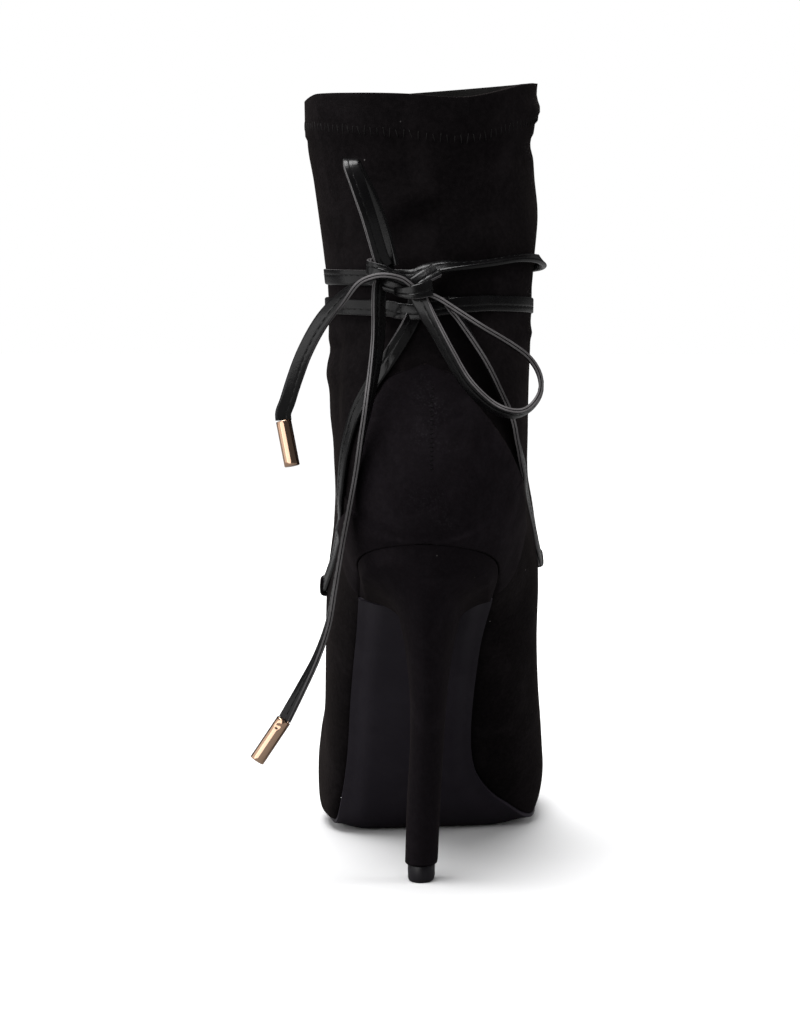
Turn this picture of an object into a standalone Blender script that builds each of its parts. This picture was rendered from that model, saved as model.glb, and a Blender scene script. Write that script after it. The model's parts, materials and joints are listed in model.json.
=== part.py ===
"""Left stiletto ankle boot: a suede sock shaft on a high covered heel, tied with a flat lace.

Units are metres and +Z is up. +Y points to the toe and +X to the inner side of the foot.
The origin is on the floor, at the middle of the forefoot's tread.
The tables below are in millimetres, with lengths measured forward from the back of the heel seat.
"""
import bisect
import math
from collections import namedtuple

import bmesh
import bpy
from mathutils import Vector
from mathutils.bvhtree import BVHTree

MM = 0.001

# Driving dimensions
BOOT_LENGTH = 216.0
HEEL_TO_TREAD = 139.0
SEAT_LENGTH = 43.0
SEAT_ROUND = 25.0
TOE_ROUND = 11.0
WALL = 1.6
GAP = 0.3
OUTSOLE_THICKNESS = 3.5
INSOLE_THICKNESS = 2.0
INSOLE_START = 2.6
INSOLE_END = BOOT_LENGTH - 3.4
INSOLE_INSET = 0.1
COUNTER_WALL = 1.0
COUNTER_GAP = 0.4
HEM_STEP = 0.7
TOP_PIECE_HEIGHT = 5.3
LACE_WIDTH = 5.0
LACE_THICKNESS = 1.6
KEEPER_WIDTH = 6.5
KEEPER_WALL = 1.0
TIP_DIAMETER = 5.0

# How finely the curved pieces are divided
RING_STEPS_PER_SECTION = 2
SIDE_STEPS = 14
KNOT_STEPS_ROUND = 14
KNOT_STEPS_UP = 9
TIP_STEPS = 14
KEEPER_TURN_STEP = 18
WELD_DISTANCE = 0.002
SHARP_DEGREES = 40.0
COUNTER_STEPS = 7
SOLE_STEPS = 40
SOLE_STEPS_ACROSS = 4
HEEL_SIDE_STEPS = 9
HEEL_STEPS_PER_RING = 2
LACE_STEP = 5.0
LACE_READINGS = 600
CORD_STEPS_PER_POINT = 2

# Height of the outsole's top along the middle of the boot
SoleRow = namedtuple("SoleRow", "along height skew")
SOLE_LINE = [
    SoleRow(0, 111.0, 0.0),
    SoleRow(14, 106.0, 0.0),
    SoleRow(28, 99.3, 0.0),
    SoleRow(43, 89.8, 0.0),
    SoleRow(60, 71.0, 0.0),
    SoleRow(78, 46.6, 0.04),
    SoleRow(94, 23.4, 0.12),
    SoleRow(104, 10.4, 0.2),
    SoleRow(111, 4.6, 0.22),
    SoleRow(117, 3.5, 0.22),
    SoleRow(150, 3.5, 0.2),
    SoleRow(175, 4.6, 0.05),
    SoleRow(200, 8.0, 0.0),
    SoleRow(216, 11.0, 0.0),
]

# Outline of the last's bottom: where its middle lies and half its width
OutlineRow = namedtuple("OutlineRow", "along centre half")
OUTLINE = [
    OutlineRow(0, 0.0, 22.5),
    OutlineRow(28, 0.0, 22.5),
    OutlineRow(43, -1.7, 21.9),
    OutlineRow(60, -5.2, 20.8),
    OutlineRow(82, -8.9, 21.0),
    OutlineRow(96, -10.0, 23.4),
    OutlineRow(104, -8.8, 27.2),
    OutlineRow(112, -6.2, 32.0),
    OutlineRow(120, -4.2, 35.6),
    OutlineRow(130, -3.4, 36.8),
    OutlineRow(142, -2.7, 36.4),
    OutlineRow(156, -1.6, 33.8),
    OutlineRow(175, 0.0, 28.2),
    OutlineRow(195, 1.4, 20.8),
    OutlineRow(216, 2.0, 11.5),
]

# Sections of the upper from the toe to the collar. Each lies in a plane from a low point to a top point.
# On the foot the low point is on the sole. From SEAT_SECTION on it climbs the back of the boot.
# The widest points are measured outwards from the middle, wide_at is their share of the section's height.
# A low tuck turns the wall flat under the foot, a high crown narrows the section towards its ridge.
Section = namedtuple(
    "Section", "low_y low_z top_y top_z lateral medial wide_at ridge_x crown tuck_lateral tuck_medial lean")
ON_SOLE = None
SECTIONS = [
    Section(216.0, ON_SOLE, 216.0, 11.3, -2.0, 2.0, 0.45, 2.0, 0.9, 1.3, 1.3, 0.0),
    Section(213.0, ON_SOLE, 214.6, 19.0, 7.4, 11.4, 0.42, 2.0, 0.9, 1.3, 1.3, 0.0),
    Section(206.0, ON_SOLE, 209.5, 25.0, 15.8, 18.8, 0.38, 1.8, 0.9, 1.3, 1.3, 0.0),
    Section(192.0, ON_SOLE, 199.0, 30.5, 22.4, 24.9, 0.34, 1.6, 0.92, 1.3, 1.3, 0.0),
    Section(171.0, ON_SOLE, 182.0, 37.0, 32.3, 32.6, 0.32, 1.5, 0.96, 1.3, 1.3, 0.0),
    Section(150.0, ON_SOLE, 164.0, 44.8, 40.4, 36.4, 0.30, 1.8, 1.0, 0.7, 1.5, 0.0),
    Section(129.0, ON_SOLE, 148.0, 56.0, 44.8, 36.6, 0.30, 2.2, 1.03, 0.45, 1.7, 0.0),
    Section(113.0, ON_SOLE, 137.5, 71.0, 43.2, 36.0, 0.38, 2.2, 1.06, 0.6, 1.5, 0.0),
    Section(98.0, ON_SOLE, 129.0, 87.0, 40.6, 34.9, 0.43, 2.0, 1.08, 0.9, 1.1, 0.0),
    Section(82.0, ON_SOLE, 121.5, 103.5, 39.2, 34.4, 0.45, 1.6, 1.08, 1.2, 1.0, 0.0),
    Section(64.0, ON_SOLE, 114.5, 120.0, 37.6, 34.9, 0.45, 1.2, 1.06, 1.35, 1.1, 0.0),
    Section(44.0, ON_SOLE, 108.0, 137.0, 34.2, 33.7, 0.45, 0.8, 1.04, 1.6, 1.4, 0.0),
    Section(24.0, ON_SOLE, 103.0, 153.0, 32.3, 31.6, 0.45, 0.4, 1.0, 1.8, 1.7, 0.0),
    Section(9.0, ON_SOLE, 99.8, 164.5, 31.6, 31.3, 0.45, 0.2, 1.0, 1.55, 1.5, 0.0),
    Section(2.2, ON_SOLE, 98.0, 173.5, 31.5, 31.4, 0.45, 0.0, 1.0, 1.2, 1.2, 0.0),
    Section(0.0, ON_SOLE, 96.6, 182.0, 31.5, 31.5, 0.45, 0.0, 1.0, 1.0, 1.0, 0.0),
    Section(-2.5, 119.0, 95.5, 190.0, 31.7, 31.6, 0.45, 0.0, 1.0, 1.0, 1.0, 0.0),
    Section(-4.0, 129.0, 94.6, 198.0, 32.1, 31.8, 0.46, 0.0, 1.0, 1.0, 1.0, 0.0),
    Section(-3.0, 142.0, 93.6, 206.0, 32.6, 32.2, 0.47, 0.0, 1.0, 1.0, 1.0, 0.0),
    Section(0.5, 154.0, 92.8, 213.0, 33.1, 32.5, 0.48, 0.0, 1.0, 1.0, 1.0, 0.0),
    Section(4.5, 166.0, 92.0, 219.0, 33.5, 32.7, 0.48, 0.0, 1.0, 1.0, 1.0, 0.0),
    Section(7.5, 180.0, 91.4, 226.0, 34.7, 33.5, 0.48, -0.3, 1.0, 1.0, 1.0, 0.0),
    Section(8.8, 196.0, 91.0, 233.0, 36.4, 34.4, 0.48, -0.7, 1.0, 1.0, 1.0, 0.0),
    Section(8.6, 213.0, 90.6, 240.0, 38.2, 33.3, 0.48, -1.2, 1.0, 1.0, 1.0, 0.0),
    Section(7.0, 231.0, 90.2, 248.0, 40.2, 32.6, 0.48, -2.0, 1.0, 1.0, 1.0, 0.02),
    Section(4.5, 249.3, 90.0, 256.5, 40.3, 33.6, 0.48, -2.5, 1.0, 1.0, 1.0, 0.07),
]
SEAT_SECTION = 15
COLLAR_SECTION = len(SECTIONS) - 1
HEM_SECTION = 24.25

# How far up each section the heel counter reaches on each side, as a share of the way from the low edge
# to the ridge
CounterRow = namedtuple("CounterRow", "section low lateral medial")
COUNTER = [
    CounterRow(11.0, 0.05, 0.385, 0.42),
    CounterRow(12.0, 0.05, 0.33, 0.392),
    CounterRow(13.0, 0.05, 0.287, 0.388),
    CounterRow(14.0, 0.05, 0.27, 0.38),
    CounterRow(15.0, 0.0, 0.274, 0.373),
    CounterRow(16.0, 0.0, 0.246, 0.336),
    CounterRow(17.0, 0.0, 0.22, 0.287),
    CounterRow(18.0, 0.0, 0.193, 0.215),
    CounterRow(19.0, 0.0, 0.145, 0.138),
    CounterRow(19.7, 0.0, 0.085, 0.082),
    CounterRow(20.05, 0.0, 0.0, 0.0),
]
COUNTER_TOP_RINGS = [19.75, 20.05]

# Rings of the heel from its seat to its tip: where the back and the front of each lie, and half its width
HeelRing = namedtuple("HeelRing", "back_y back_z front_y front_z half centre")
HEEL_RINGS = [
    HeelRing(0.9, 105.8, 41.2, 88.5, 20.2, -0.7),
    HeelRing(2.0, 100.2, 40.2, 86.9, 14.8, -0.3),
    HeelRing(3.5, 93.6, 38.6, 83.9, 10.3, 0.0),
    HeelRing(5.6, 85.2, 36.2, 78.5, 8.5, 0.2),
    HeelRing(8.2, 75.0, 33.8, 70.5, 7.0, 0.2),
    HeelRing(11.2, 62.0, 31.8, 58.8, 5.8, 0.1),
    HeelRing(14.6, 45.0, 30.7, 43.5, 5.3, -0.4),
    HeelRing(17.2, 26.0, 30.4, 25.5, 5.3, -1.4),
    HeelRing(19.2, TOP_PIECE_HEIGHT + GAP, 30.6, TOP_PIECE_HEIGHT + GAP, 5.2, -2.2),
]
TOP_PIECE_BACK = 20.0
TOP_PIECE_FRONT = 29.9
TOP_PIECE_HALF = 4.3
TOP_PIECE_CENTRE = -2.2
HEEL_ROUND_SHARE = 0.58

# Lace runs on the boot: degrees round the ankle's axis from the back, height and lift off the upper.
# Minus angles are on the outer side of the foot.
ANKLE_AXIS = 48.0
LaceRow = namedtuple("LaceRow", "angle height lift")
LACE_RUN = [
    LaceRow(-6, 182.0, 0.8),
    LaceRow(-9, 176.0, 1.0),
    LaceRow(-14, 168.5, 1.6),
    LaceRow(-20.5, 160.0, 2.0),
    LaceRow(-27, 149.5, 2.1),
    LaceRow(-34, 137.0, 2.1),
    LaceRow(-43, 125.5, 2.1),
    LaceRow(-60, 113.5, 2.1),
    LaceRow(-85, 103.0, 2.0),
    LaceRow(-110, 94.6, 2.0),
    LaceRow(-124, 90.4, 1.8),
    LaceRow(-134, 89.2, 0.6),
    LaceRow(-143, 90.6, 0.6),
    LaceRow(-153, 97.0, 0.6),
    LaceRow(-166, 109.0, 0.6),
    LaceRow(-180, 117.5, 0.6),
    LaceRow(-195, 113.0, 0.6),
    LaceRow(-205, 103.8, 0.6),
    LaceRow(-212, 98.8, 0.6),
    LaceRow(-222, 98.0, 0.6),
    LaceRow(-233, 100.2, 1.8),
    LaceRow(-249, 105.0, 2.0),
    LaceRow(-270, 111.5, 2.0),
    LaceRow(-292, 119.5, 2.1),
    LaceRow(-312, 134.0, 2.1),
    LaceRow(-324, 147.0, 2.1),
    LaceRow(-331, 157.5, 2.0),
    LaceRow(-338, 168.5, 1.4),
    LaceRow(-344, 178.0, 0.9),
    LaceRow(-347, 182.5, 0.8),
]
LOWER_TURN = [
    LaceRow(-180, 184.0, 0.8),
    LaceRow(-135, 184.5, 0.7),
    LaceRow(-90, 185.0, 0.5),
    LaceRow(-22, 183.6, 0.5),
    LaceRow(-4, 182.2, 0.5),
    LaceRow(14, 184.4, 0.5),
    LaceRow(35, 185.2, 0.5),
    LaceRow(90, 184.6, 0.5),
    LaceRow(135, 184.2, 0.7),
    LaceRow(180, 184.0, 0.8),
]
UPPER_TURN = [
    LaceRow(-180, 196.5, 0.8),
    LaceRow(-135, 195.2, 0.7),
    LaceRow(-90, 194.2, 0.5),
    LaceRow(-40, 193.2, 0.5),
    LaceRow(-22, 192.6, 0.5),
    LaceRow(0, 194.6, 0.5),
    LaceRow(20, 197.4, 0.5),
    LaceRow(60, 199.8, 0.5),
    LaceRow(90, 199.2, 0.5),
    LaceRow(135, 197.8, 0.7),
    LaceRow(180, 196.5, 0.8),
]

# Knot of the bow at the back
KNOT_CENTRE = (-7.0, 0.5, 191.5)
KNOT_RADII = (10.0, 5.0, 6.8)

# Free loops and ends of the lace: the route's points, and the way that the strip's face looks at each
CordRow = namedtuple("CordRow", "x along height face_x face_y face_z")
LOOP_UP = [
    CordRow(-13.2, -2.2, 199.2, 0.3, -1.0, -0.3),
    CordRow(-15.2, -4.6, 205.0, 0.2, -1.0, -0.2),
    CordRow(-17.8, -6.6, 212.0, 0.1, -1.0, -0.1),
    CordRow(-20.6, -7.4, 220.0, 0.0, -1.0, 0.1),
    CordRow(-22.4, -6.0, 226.6, 0.0, -0.7, 0.8),
    CordRow(-22.4, -2.8, 228.6, 0.0, 0.1, 1.0),
    CordRow(-20.6, 0.0, 226.2, 0.2, 0.9, 0.4),
    CordRow(-17.2, 1.2, 219.0, 0.3, 1.0, 0.0),
    CordRow(-13.8, 1.2, 210.0, 0.3, 1.0, 0.0),
    CordRow(-11.2, 0.8, 203.5, 0.2, 1.0, 0.1),
    CordRow(-9.4, 0.2, 199.8, 0.1, 1.0, 0.3),
]
LOOP_SIDE = [
    CordRow(4.8, -0.4, 188.2, 0.5, 0.1, 0.9),
    CordRow(10.0, -1.2, 183.6, 0.6, 0.1, 0.8),
    CordRow(17.8, -1.0, 178.4, 0.5, 0.1, 0.9),
    CordRow(25.8, 1.0, 173.4, 0.5, 0.1, 0.9),
    CordRow(32.4, 3.8, 168.2, 0.7, 0.1, 0.7),
    CordRow(35.8, 5.4, 162.4, 1.0, 0.1, 0.1),
    CordRow(35.6, 4.8, 157.2, 0.9, 0.0, -0.4),
    CordRow(32.6, 2.2, 153.0, 0.5, -0.1, -0.9),
    CordRow(28.0, -1.2, 151.2, 0.0, -0.2, -1.0),
    CordRow(22.8, -3.8, 152.0, -0.4, -0.3, -0.9),
    CordRow(17.6, -5.6, 155.4, -0.7, -0.3, -0.7),
    CordRow(12.6, -6.4, 161.2, -0.8, -0.3, -0.5),
    CordRow(8.0, -6.0, 169.4, -0.9, -0.3, -0.4),
    CordRow(3.8, -4.4, 178.0, -0.9, -0.3, -0.4),
    CordRow(1.0, -2.6, 183.4, -0.9, -0.2, -0.4),
]
END_LEFT = [
    CordRow(-18.4, -3.4, 193.0, 0.1, -1.0, 0.2),
    CordRow(-22.4, -4.2, 189.8, 0.0, -1.0, 0.2),
    CordRow(-26.4, -4.2, 185.8, 0.0, -1.0, 0.2),
    CordRow(-30.4, -3.6, 181.0, -0.1, -1.0, 0.1),
    CordRow(-33.8, -2.6, 176.0, -0.2, -1.0, 0.1),
    CordRow(-37.2, -1.4, 169.4, -0.3, -1.0, 0.0),
    CordRow(-40.0, -0.2, 162.2, -0.4, -1.0, 0.0),
    CordRow(-42.4, 0.8, 155.0, -0.4, -1.0, 0.0),
    CordRow(-43.5, 1.4, 151.4, -0.4, -1.0, 0.0),
    CordRow(-43.3, 1.6, 149.0, -0.4, -1.0, 0.0),
]
TIP_LEFT_END = (-40.9, 2.6, 134.9)
END_DOWN = [
    CordRow(-14.6, -0.6, 183.6, -1.0, -0.3, 0.0),
    CordRow(-14.2, -1.4, 178.6, -1.0, -0.3, 0.0),
    CordRow(-14.0, -2.6, 172.6, -1.0, -0.3, 0.0),
    CordRow(-15.0, -4.0, 164.0, -1.0, -0.4, 0.0),
    CordRow(-17.4, -3.8, 152.6, -0.9, -0.5, 0.0),
    CordRow(-20.2, -1.6, 143.4, -0.8, -0.6, 0.0),
    CordRow(-22.6, 1.8, 134.2, -0.8, -0.7, 0.0),
    CordRow(-25.0, 6.0, 123.4, -0.8, -0.7, 0.0),
    CordRow(-27.4, 9.6, 113.4, -0.8, -0.7, 0.0),
    CordRow(-29.2, 12.2, 104.0, -0.7, -0.8, 0.0),
    CordRow(-30.6, 14.0, 95.0, -0.7, -0.8, 0.0),
    CordRow(-32.4, 15.0, 84.2, -0.6, -0.9, 0.0),
    CordRow(-35.6, 15.6, 73.4, -0.5, -0.9, 0.1),
    CordRow(-40.2, 15.8, 62.8, -0.4, -1.0, 0.1),
    CordRow(-45.2, 15.6, 53.4, -0.4, -1.0, 0.1),
]
TIP_DOWN_END = (-54.0, 14.6, 40.2)

# Keepers: the section and the share of it where the middle of each loop sits
KEEPER_SECTION = 10.0
KEEPER_LATERAL_SHARE = 0.48
KEEPER_MEDIAL_SHARE = 0.585
KEEPER_SPAN = 8.0
KEEPER_RISE = 2.8
KEEPER_LIFT = 0.5
KEEPER_SQUARENESS = 0.55

# Colour, roughness and metallic value of each material
Finish = namedtuple("Finish", "colour roughness metallic")
SUEDE = Finish((0.012, 0.011, 0.012), 0.95, 0.0)
SOLE_LEATHER = Finish((0.028, 0.03, 0.034), 0.45, 0.0)
INSOLE_LINING = Finish((0.02, 0.019, 0.019), 0.8, 0.0)
TOP_PIECE_PLASTIC = Finish((0.035, 0.036, 0.038), 0.4, 0.0)
LACE_LEATHER = Finish((0.013, 0.013, 0.014), 0.35, 0.0)
ROSE_METAL = Finish((0.83, 0.52, 0.4), 0.2, 1.0)


def clear_scene():
    for thing in list(bpy.data.objects):
        bpy.data.objects.remove(thing, do_unlink=True)


def smooth_curve(xs, ys):
    """Returns a smooth function through the points, which never swings past them."""
    spans = [after - before for before, after in zip(xs, xs[1:])]
    rises = [(after - before) / span for before, after, span in zip(ys, ys[1:], spans)]
    slopes = [rises[0]]
    for i in range(1, len(rises)):
        before, after = rises[i - 1], rises[i]
        mean = (before * spans[i] + after * spans[i - 1]) / (spans[i] + spans[i - 1])
        limit = 3 * min(abs(before), abs(after)) if before * after > 0 else 0.0
        slopes.append(math.copysign(min(abs(mean), limit), mean))
    slopes.append(rises[-1])

    def value(x):
        x = min(max(x, xs[0]), xs[-1])
        i = min(bisect.bisect_right(xs, x) - 1, len(spans) - 1)
        u = (x - xs[i]) / spans[i]
        start = ys[i] * (1 + 2 * u) * (1 - u) ** 2 + slopes[i] * spans[i] * u * (1 - u) ** 2
        end = ys[i + 1] * u * u * (3 - 2 * u) - slopes[i + 1] * spans[i] * u * u * (1 - u)
        return start + end

    return value


def table_curves(rows, along):
    """Returns one smooth function for each column of a table, read against the column named along."""
    xs = [getattr(row, along) for row in rows]
    return {name: smooth_curve(xs, [getattr(row, name) for row in rows]) for name in rows[0]._fields}


def spline(points, steps_per_point):
    """Reads points off a smooth curve through the given ones."""
    numbers = list(range(len(points)))
    curves = [smooth_spline(numbers, [p[i] for p in points]) for i in range(len(points[0]))]
    count = (len(points) - 1) * steps_per_point
    places = [i / steps_per_point for i in range(count + 1)]
    return [tuple(curve(place) for curve in curves) for place in places]


def smooth_spline(xs, ys):
    """A Catmull-Rom curve through evenly numbered values."""
    def value(x):
        i = min(max(int(x), 0), len(xs) - 2)
        u = x - i
        before = ys[i - 1] if i > 0 else 2 * ys[0] - ys[1]
        after = ys[i + 2] if i + 2 < len(ys) else 2 * ys[-1] - ys[-2]
        a, b = ys[i], ys[i + 1]
        bend = 2 * before - 5 * a + 4 * b - after
        return a + 0.5 * u * (b - before + u * (bend + u * (3 * (a - b) + after - before)))

    return value


def place(x, along, height):
    """Turns boot millimetres into the model's metres."""
    return Vector((x, along - HEEL_TO_TREAD, height)) * MM


sole_curves = table_curves(SOLE_LINE, "along")
outline_curves = table_curves(OUTLINE, "along")
counter_curves = table_curves(COUNTER, "section")
sole_height = sole_curves["height"]


def sole_slope(along):
    step = 0.5
    return (sole_height(along + step) - sole_height(along - step)) / (2 * step)


def above_sole(along, lift, x=0.0):
    """The height that clears the sole by lift, square to its slope. The tread slants across, so x counts."""
    along -= sole_curves["skew"](along) * x
    return sole_height(along) + lift * math.hypot(1.0, sole_slope(along))


def outline_half(along):
    """Half the width of the last's bottom, rounded off at the heel and the toe."""
    half = outline_curves["half"](along)
    for distance, radius in ((along, SEAT_ROUND), (BOOT_LENGTH - along, TOE_ROUND)):
        if distance < radius:
            half *= math.sqrt(max(0.0, 1 - (1 - max(distance, 0.0) / radius) ** 2))
    return half


def section_curves():
    """One smooth function of the section's number for each column of the upper's table."""
    numbers = list(range(len(SECTIONS)))
    curves = {}
    for name in Section._fields:
        values = [getattr(row, name) for row in SECTIONS]
        if name == "low_z":
            values = [above_sole(row.low_y, GAP) if row.low_z is ON_SOLE else row.low_z for row in SECTIONS]
        curves[name] = smooth_curve(numbers, values)
    return curves


upper_curves = section_curves()


def upper_point(section, side, share):
    """A point on the upper's outside: side is -1 outer or 1 inner, share runs from low edge to ridge."""
    at = {name: curve(section) for name, curve in upper_curves.items()}
    hem = HEM_STEP if section > HEM_SECTION else 0.0
    low_y, top_y = at["low_y"] - hem, at["top_y"] + hem
    edge = 0.0
    if section <= SEAT_SECTION:
        edge = outline_half(low_y) + side * outline_curves["centre"](low_y)
        at["low_z"] = above_sole(low_y, GAP, side * edge)
    wide = max(at["medial" if side > 0 else "lateral"] + hem, edge + GAP * min(section, 1))
    tuck = at["tuck_medial" if side > 0 else "tuck_lateral"]
    ridge = side * at["ridge_x"]
    if share < 0.5:
        turn = share * math.pi
        out = edge + (wide - edge) * math.sin(turn) ** tuck
        climb = at["wide_at"] * (1 - math.cos(turn))
    else:
        turn = (share - 0.5) * math.pi
        out = ridge + (wide - ridge) * max(math.cos(turn), 0.0) ** at["crown"]
        climb = at["wide_at"] + (1 - at["wide_at"]) * math.sin(turn)
    x = side * out
    along = low_y + (top_y - low_y) * climb
    height = at["low_z"] + (at["top_z"] - at["low_z"]) * climb + at["lean"] * x
    return place(x, along, height)


def upper_normal(section, side, share):
    """The way that the upper's outside faces at a point."""
    step = 0.02
    forward = upper_point(section + step, side, share) - upper_point(section - step, side, share)
    below = share - step
    if section >= SEAT_SECTION and below < 0:
        low = upper_point(section, -side, -below)
    else:
        low = upper_point(section, side, max(below, 0.0))
    upward = upper_point(section, side, share + step) - low
    return -side * forward.cross(upward).normalized()


def boot_collection():
    collection = bpy.data.collections.new("stiletto_ankle_boot")
    bpy.context.scene.collection.children.link(collection)
    return collection


def make_material(name, finish):
    material = bpy.data.materials.new(name)
    material.use_nodes = True
    shader = material.node_tree.nodes["Principled BSDF"]
    shader.inputs["Base Color"].default_value = (*finish.colour, 1.0)
    shader.inputs["Roughness"].default_value = finish.roughness
    shader.inputs["Metallic"].default_value = finish.metallic
    return material


def add_piece(name, bm, finish):
    """Makes a named object from a bmesh, with a material of its own."""
    bmesh.ops.remove_doubles(bm, verts=bm.verts, dist=WELD_DISTANCE * MM)
    mesh = bpy.data.meshes.new(name)
    bm.to_mesh(mesh)
    bm.free()
    mesh.shade_smooth()
    mesh.set_sharp_from_angle(angle=math.radians(SHARP_DEGREES))
    piece = bpy.data.objects.new(name, mesh)
    mesh.materials.append(make_material(name, finish))
    boot.objects.link(piece)
    return piece


def add_wall(piece, thickness, offset):
    solidify = piece.modifiers.new("Wall", "SOLIDIFY")
    solidify.thickness = thickness * MM
    solidify.offset = offset
    return solidify


def add_grid(bm, rows, columns, point):
    """Adds a grid to the bmesh and moves each of its corners to point(row, column)."""
    made = bmesh.ops.create_grid(bm, x_segments=rows, y_segments=columns, size=1.0)
    for vertex in made["verts"]:
        row = round((vertex.co.x + 1) / 2 * rows)
        column = round((vertex.co.y + 1) / 2 * columns)
        vertex.co = point(row, column)
    return made["verts"]


def make_upper_surface():
    """The outside of the upper as an open sheet, from the toe's point to the collar."""
    rings = [i / RING_STEPS_PER_SECTION for i in range((COLLAR_SECTION - 1) * RING_STEPS_PER_SECTION + 1)]
    rings += [HEM_SECTION - 0.02, HEM_SECTION + 0.04, (HEM_SECTION + COLLAR_SECTION) / 2, COLLAR_SECTION]

    def point(row, column):
        if column <= SIDE_STEPS:
            return upper_point(rings[row], -1, column / SIDE_STEPS)
        return upper_point(rings[row], 1, (2 * SIDE_STEPS - column) / SIDE_STEPS)

    bm = bmesh.new()
    add_grid(bm, len(rings) - 1, 2 * SIDE_STEPS, point)
    bmesh.ops.remove_doubles(bm, verts=bm.verts, dist=WELD_DISTANCE * MM)
    return bm


def make_upper():
    surface = make_upper_surface()
    tree = BVHTree.FromBMesh(surface)
    upper = add_piece("upper", surface, SUEDE)
    add_wall(upper, WALL, -1.0)
    return tree


def make_counter():
    """The stiff panel over the heel, a wall just off the upper and divided at the upper's own rings."""
    first = round(COUNTER[0].section * RING_STEPS_PER_SECTION)
    last = math.floor(COUNTER_TOP_RINGS[0] * RING_STEPS_PER_SECTION)
    rings = [i / RING_STEPS_PER_SECTION for i in range(first, last + 1)] + COUNTER_TOP_RINGS
    bm = bmesh.new()
    for side in (-1, 1):
        def point(row, column):
            section = rings[row]
            low = counter_curves["low"](section)
            reach = counter_curves["medial" if side > 0 else "lateral"](section)
            share = low + (reach - low) * column / COUNTER_STEPS
            return upper_point(section, side, share) + upper_normal(section, side, share) * COUNTER_GAP * MM

        corners = add_grid(bm, len(rings) - 1, COUNTER_STEPS, point)
        if side > 0:
            faces = {face for corner in corners for face in corner.link_faces}
            bmesh.ops.reverse_faces(bm, faces=list(faces))
    counter = add_piece("counter", bm, SUEDE)
    add_wall(counter, COUNTER_WALL, 1.0)


def make_sole_layer(name, start, end, inset_share, lift, thickness, finish):
    """A layer that follows the last's bottom, from start to end along the boot."""
    def point(row, column):
        along = start + (end - start) * row / SOLE_STEPS
        across = 2 * column / SOLE_STEPS_ACROSS - 1
        read = (along - start) / (end - start) * BOOT_LENGTH if inset_share else along
        half = outline_half(read) * (1 - inset_share)
        x = outline_curves["centre"](read) + across * half
        return place(x, along, above_sole(along, lift, x))

    bm = bmesh.new()
    corners = add_grid(bm, SOLE_STEPS, SOLE_STEPS_ACROSS, point)
    bmesh.ops.reverse_faces(bm, faces=list({face for corner in corners for face in corner.link_faces}))
    layer = add_piece(name, bm, finish)
    add_wall(layer, thickness, -1.0)


def heel_outline(back, front, half, centre, follow_seat):
    """One ring round the heel, seen from above: a round back, straight sides and a flat front."""
    def side_points(side):
        points = []
        for i in range(HEEL_SIDE_STEPS + 1):
            share = 0.004 + 0.996 * (1 - math.cos(math.pi * i / HEEL_SIDE_STEPS / 2))
            along = back[0] + (front[0] - back[0]) * share
            if follow_seat:
                points.append(place(outline_curves["centre"](along) + side * outline_half(along), along,
                                    sole_height(along)))
                continue
            width = half * math.sqrt(1 - max(0.0, 1 - share / HEEL_ROUND_SHARE) ** 2)
            points.append(place(centre + side * width, along, back[1] + (front[1] - back[1]) * share))
        return points

    return side_points(-1) + side_points(1)[::-1]


def make_heel():
    """The covered heel, lofted from its seat down to the tip."""
    rings = [heel_outline((0.0, 0.0), (SEAT_LENGTH, 0.0), 0.0, 0.0, True)]
    for ring in spline(HEEL_RINGS, HEEL_STEPS_PER_RING):
        ring = HeelRing(*ring)
        rings.append(heel_outline((ring.back_y, ring.back_z), (ring.front_y, ring.front_z), ring.half,
                                  ring.centre, False))
    bm = bmesh.new()
    loft(bm, rings)
    add_piece("heel", bm, SUEDE)


def make_heel_tip():
    """The hard top piece under the heel, a little smaller than the heel's end."""
    bm = bmesh.new()
    rings = []
    for height, inset in ((TOP_PIECE_HEIGHT, 0.0), (0.8, 0.0), (0.0, 0.4)):
        rings.append(heel_outline((TOP_PIECE_BACK + inset, height), (TOP_PIECE_FRONT - inset, height),
                                  TOP_PIECE_HALF - inset, TOP_PIECE_CENTRE, False))
    loft(bm, rings)
    add_piece("heel_tip", bm, TOP_PIECE_PLASTIC)


def loft(bm, rings):
    """Joins closed rings of equal count into one solid, and closes its two ends across the piece."""
    loops = []
    for ring in rings:
        corners = [bm.verts.new(point) for point in ring]
        loops.append([bm.edges.new((a, b)) for a, b in zip(corners, corners[1:] + corners[:1])])
    for upper_loop, lower_loop in zip(loops, loops[1:]):
        bmesh.ops.bridge_loops(bm, edges=upper_loop + lower_loop)
    for loop in (loops[0], loops[-1]):
        half = len(loop) // 2
        bmesh.ops.grid_fill(bm, edges=loop[:half - 1] + loop[half:-1])
    bmesh.ops.recalc_face_normals(bm, faces=bm.faces)


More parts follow.
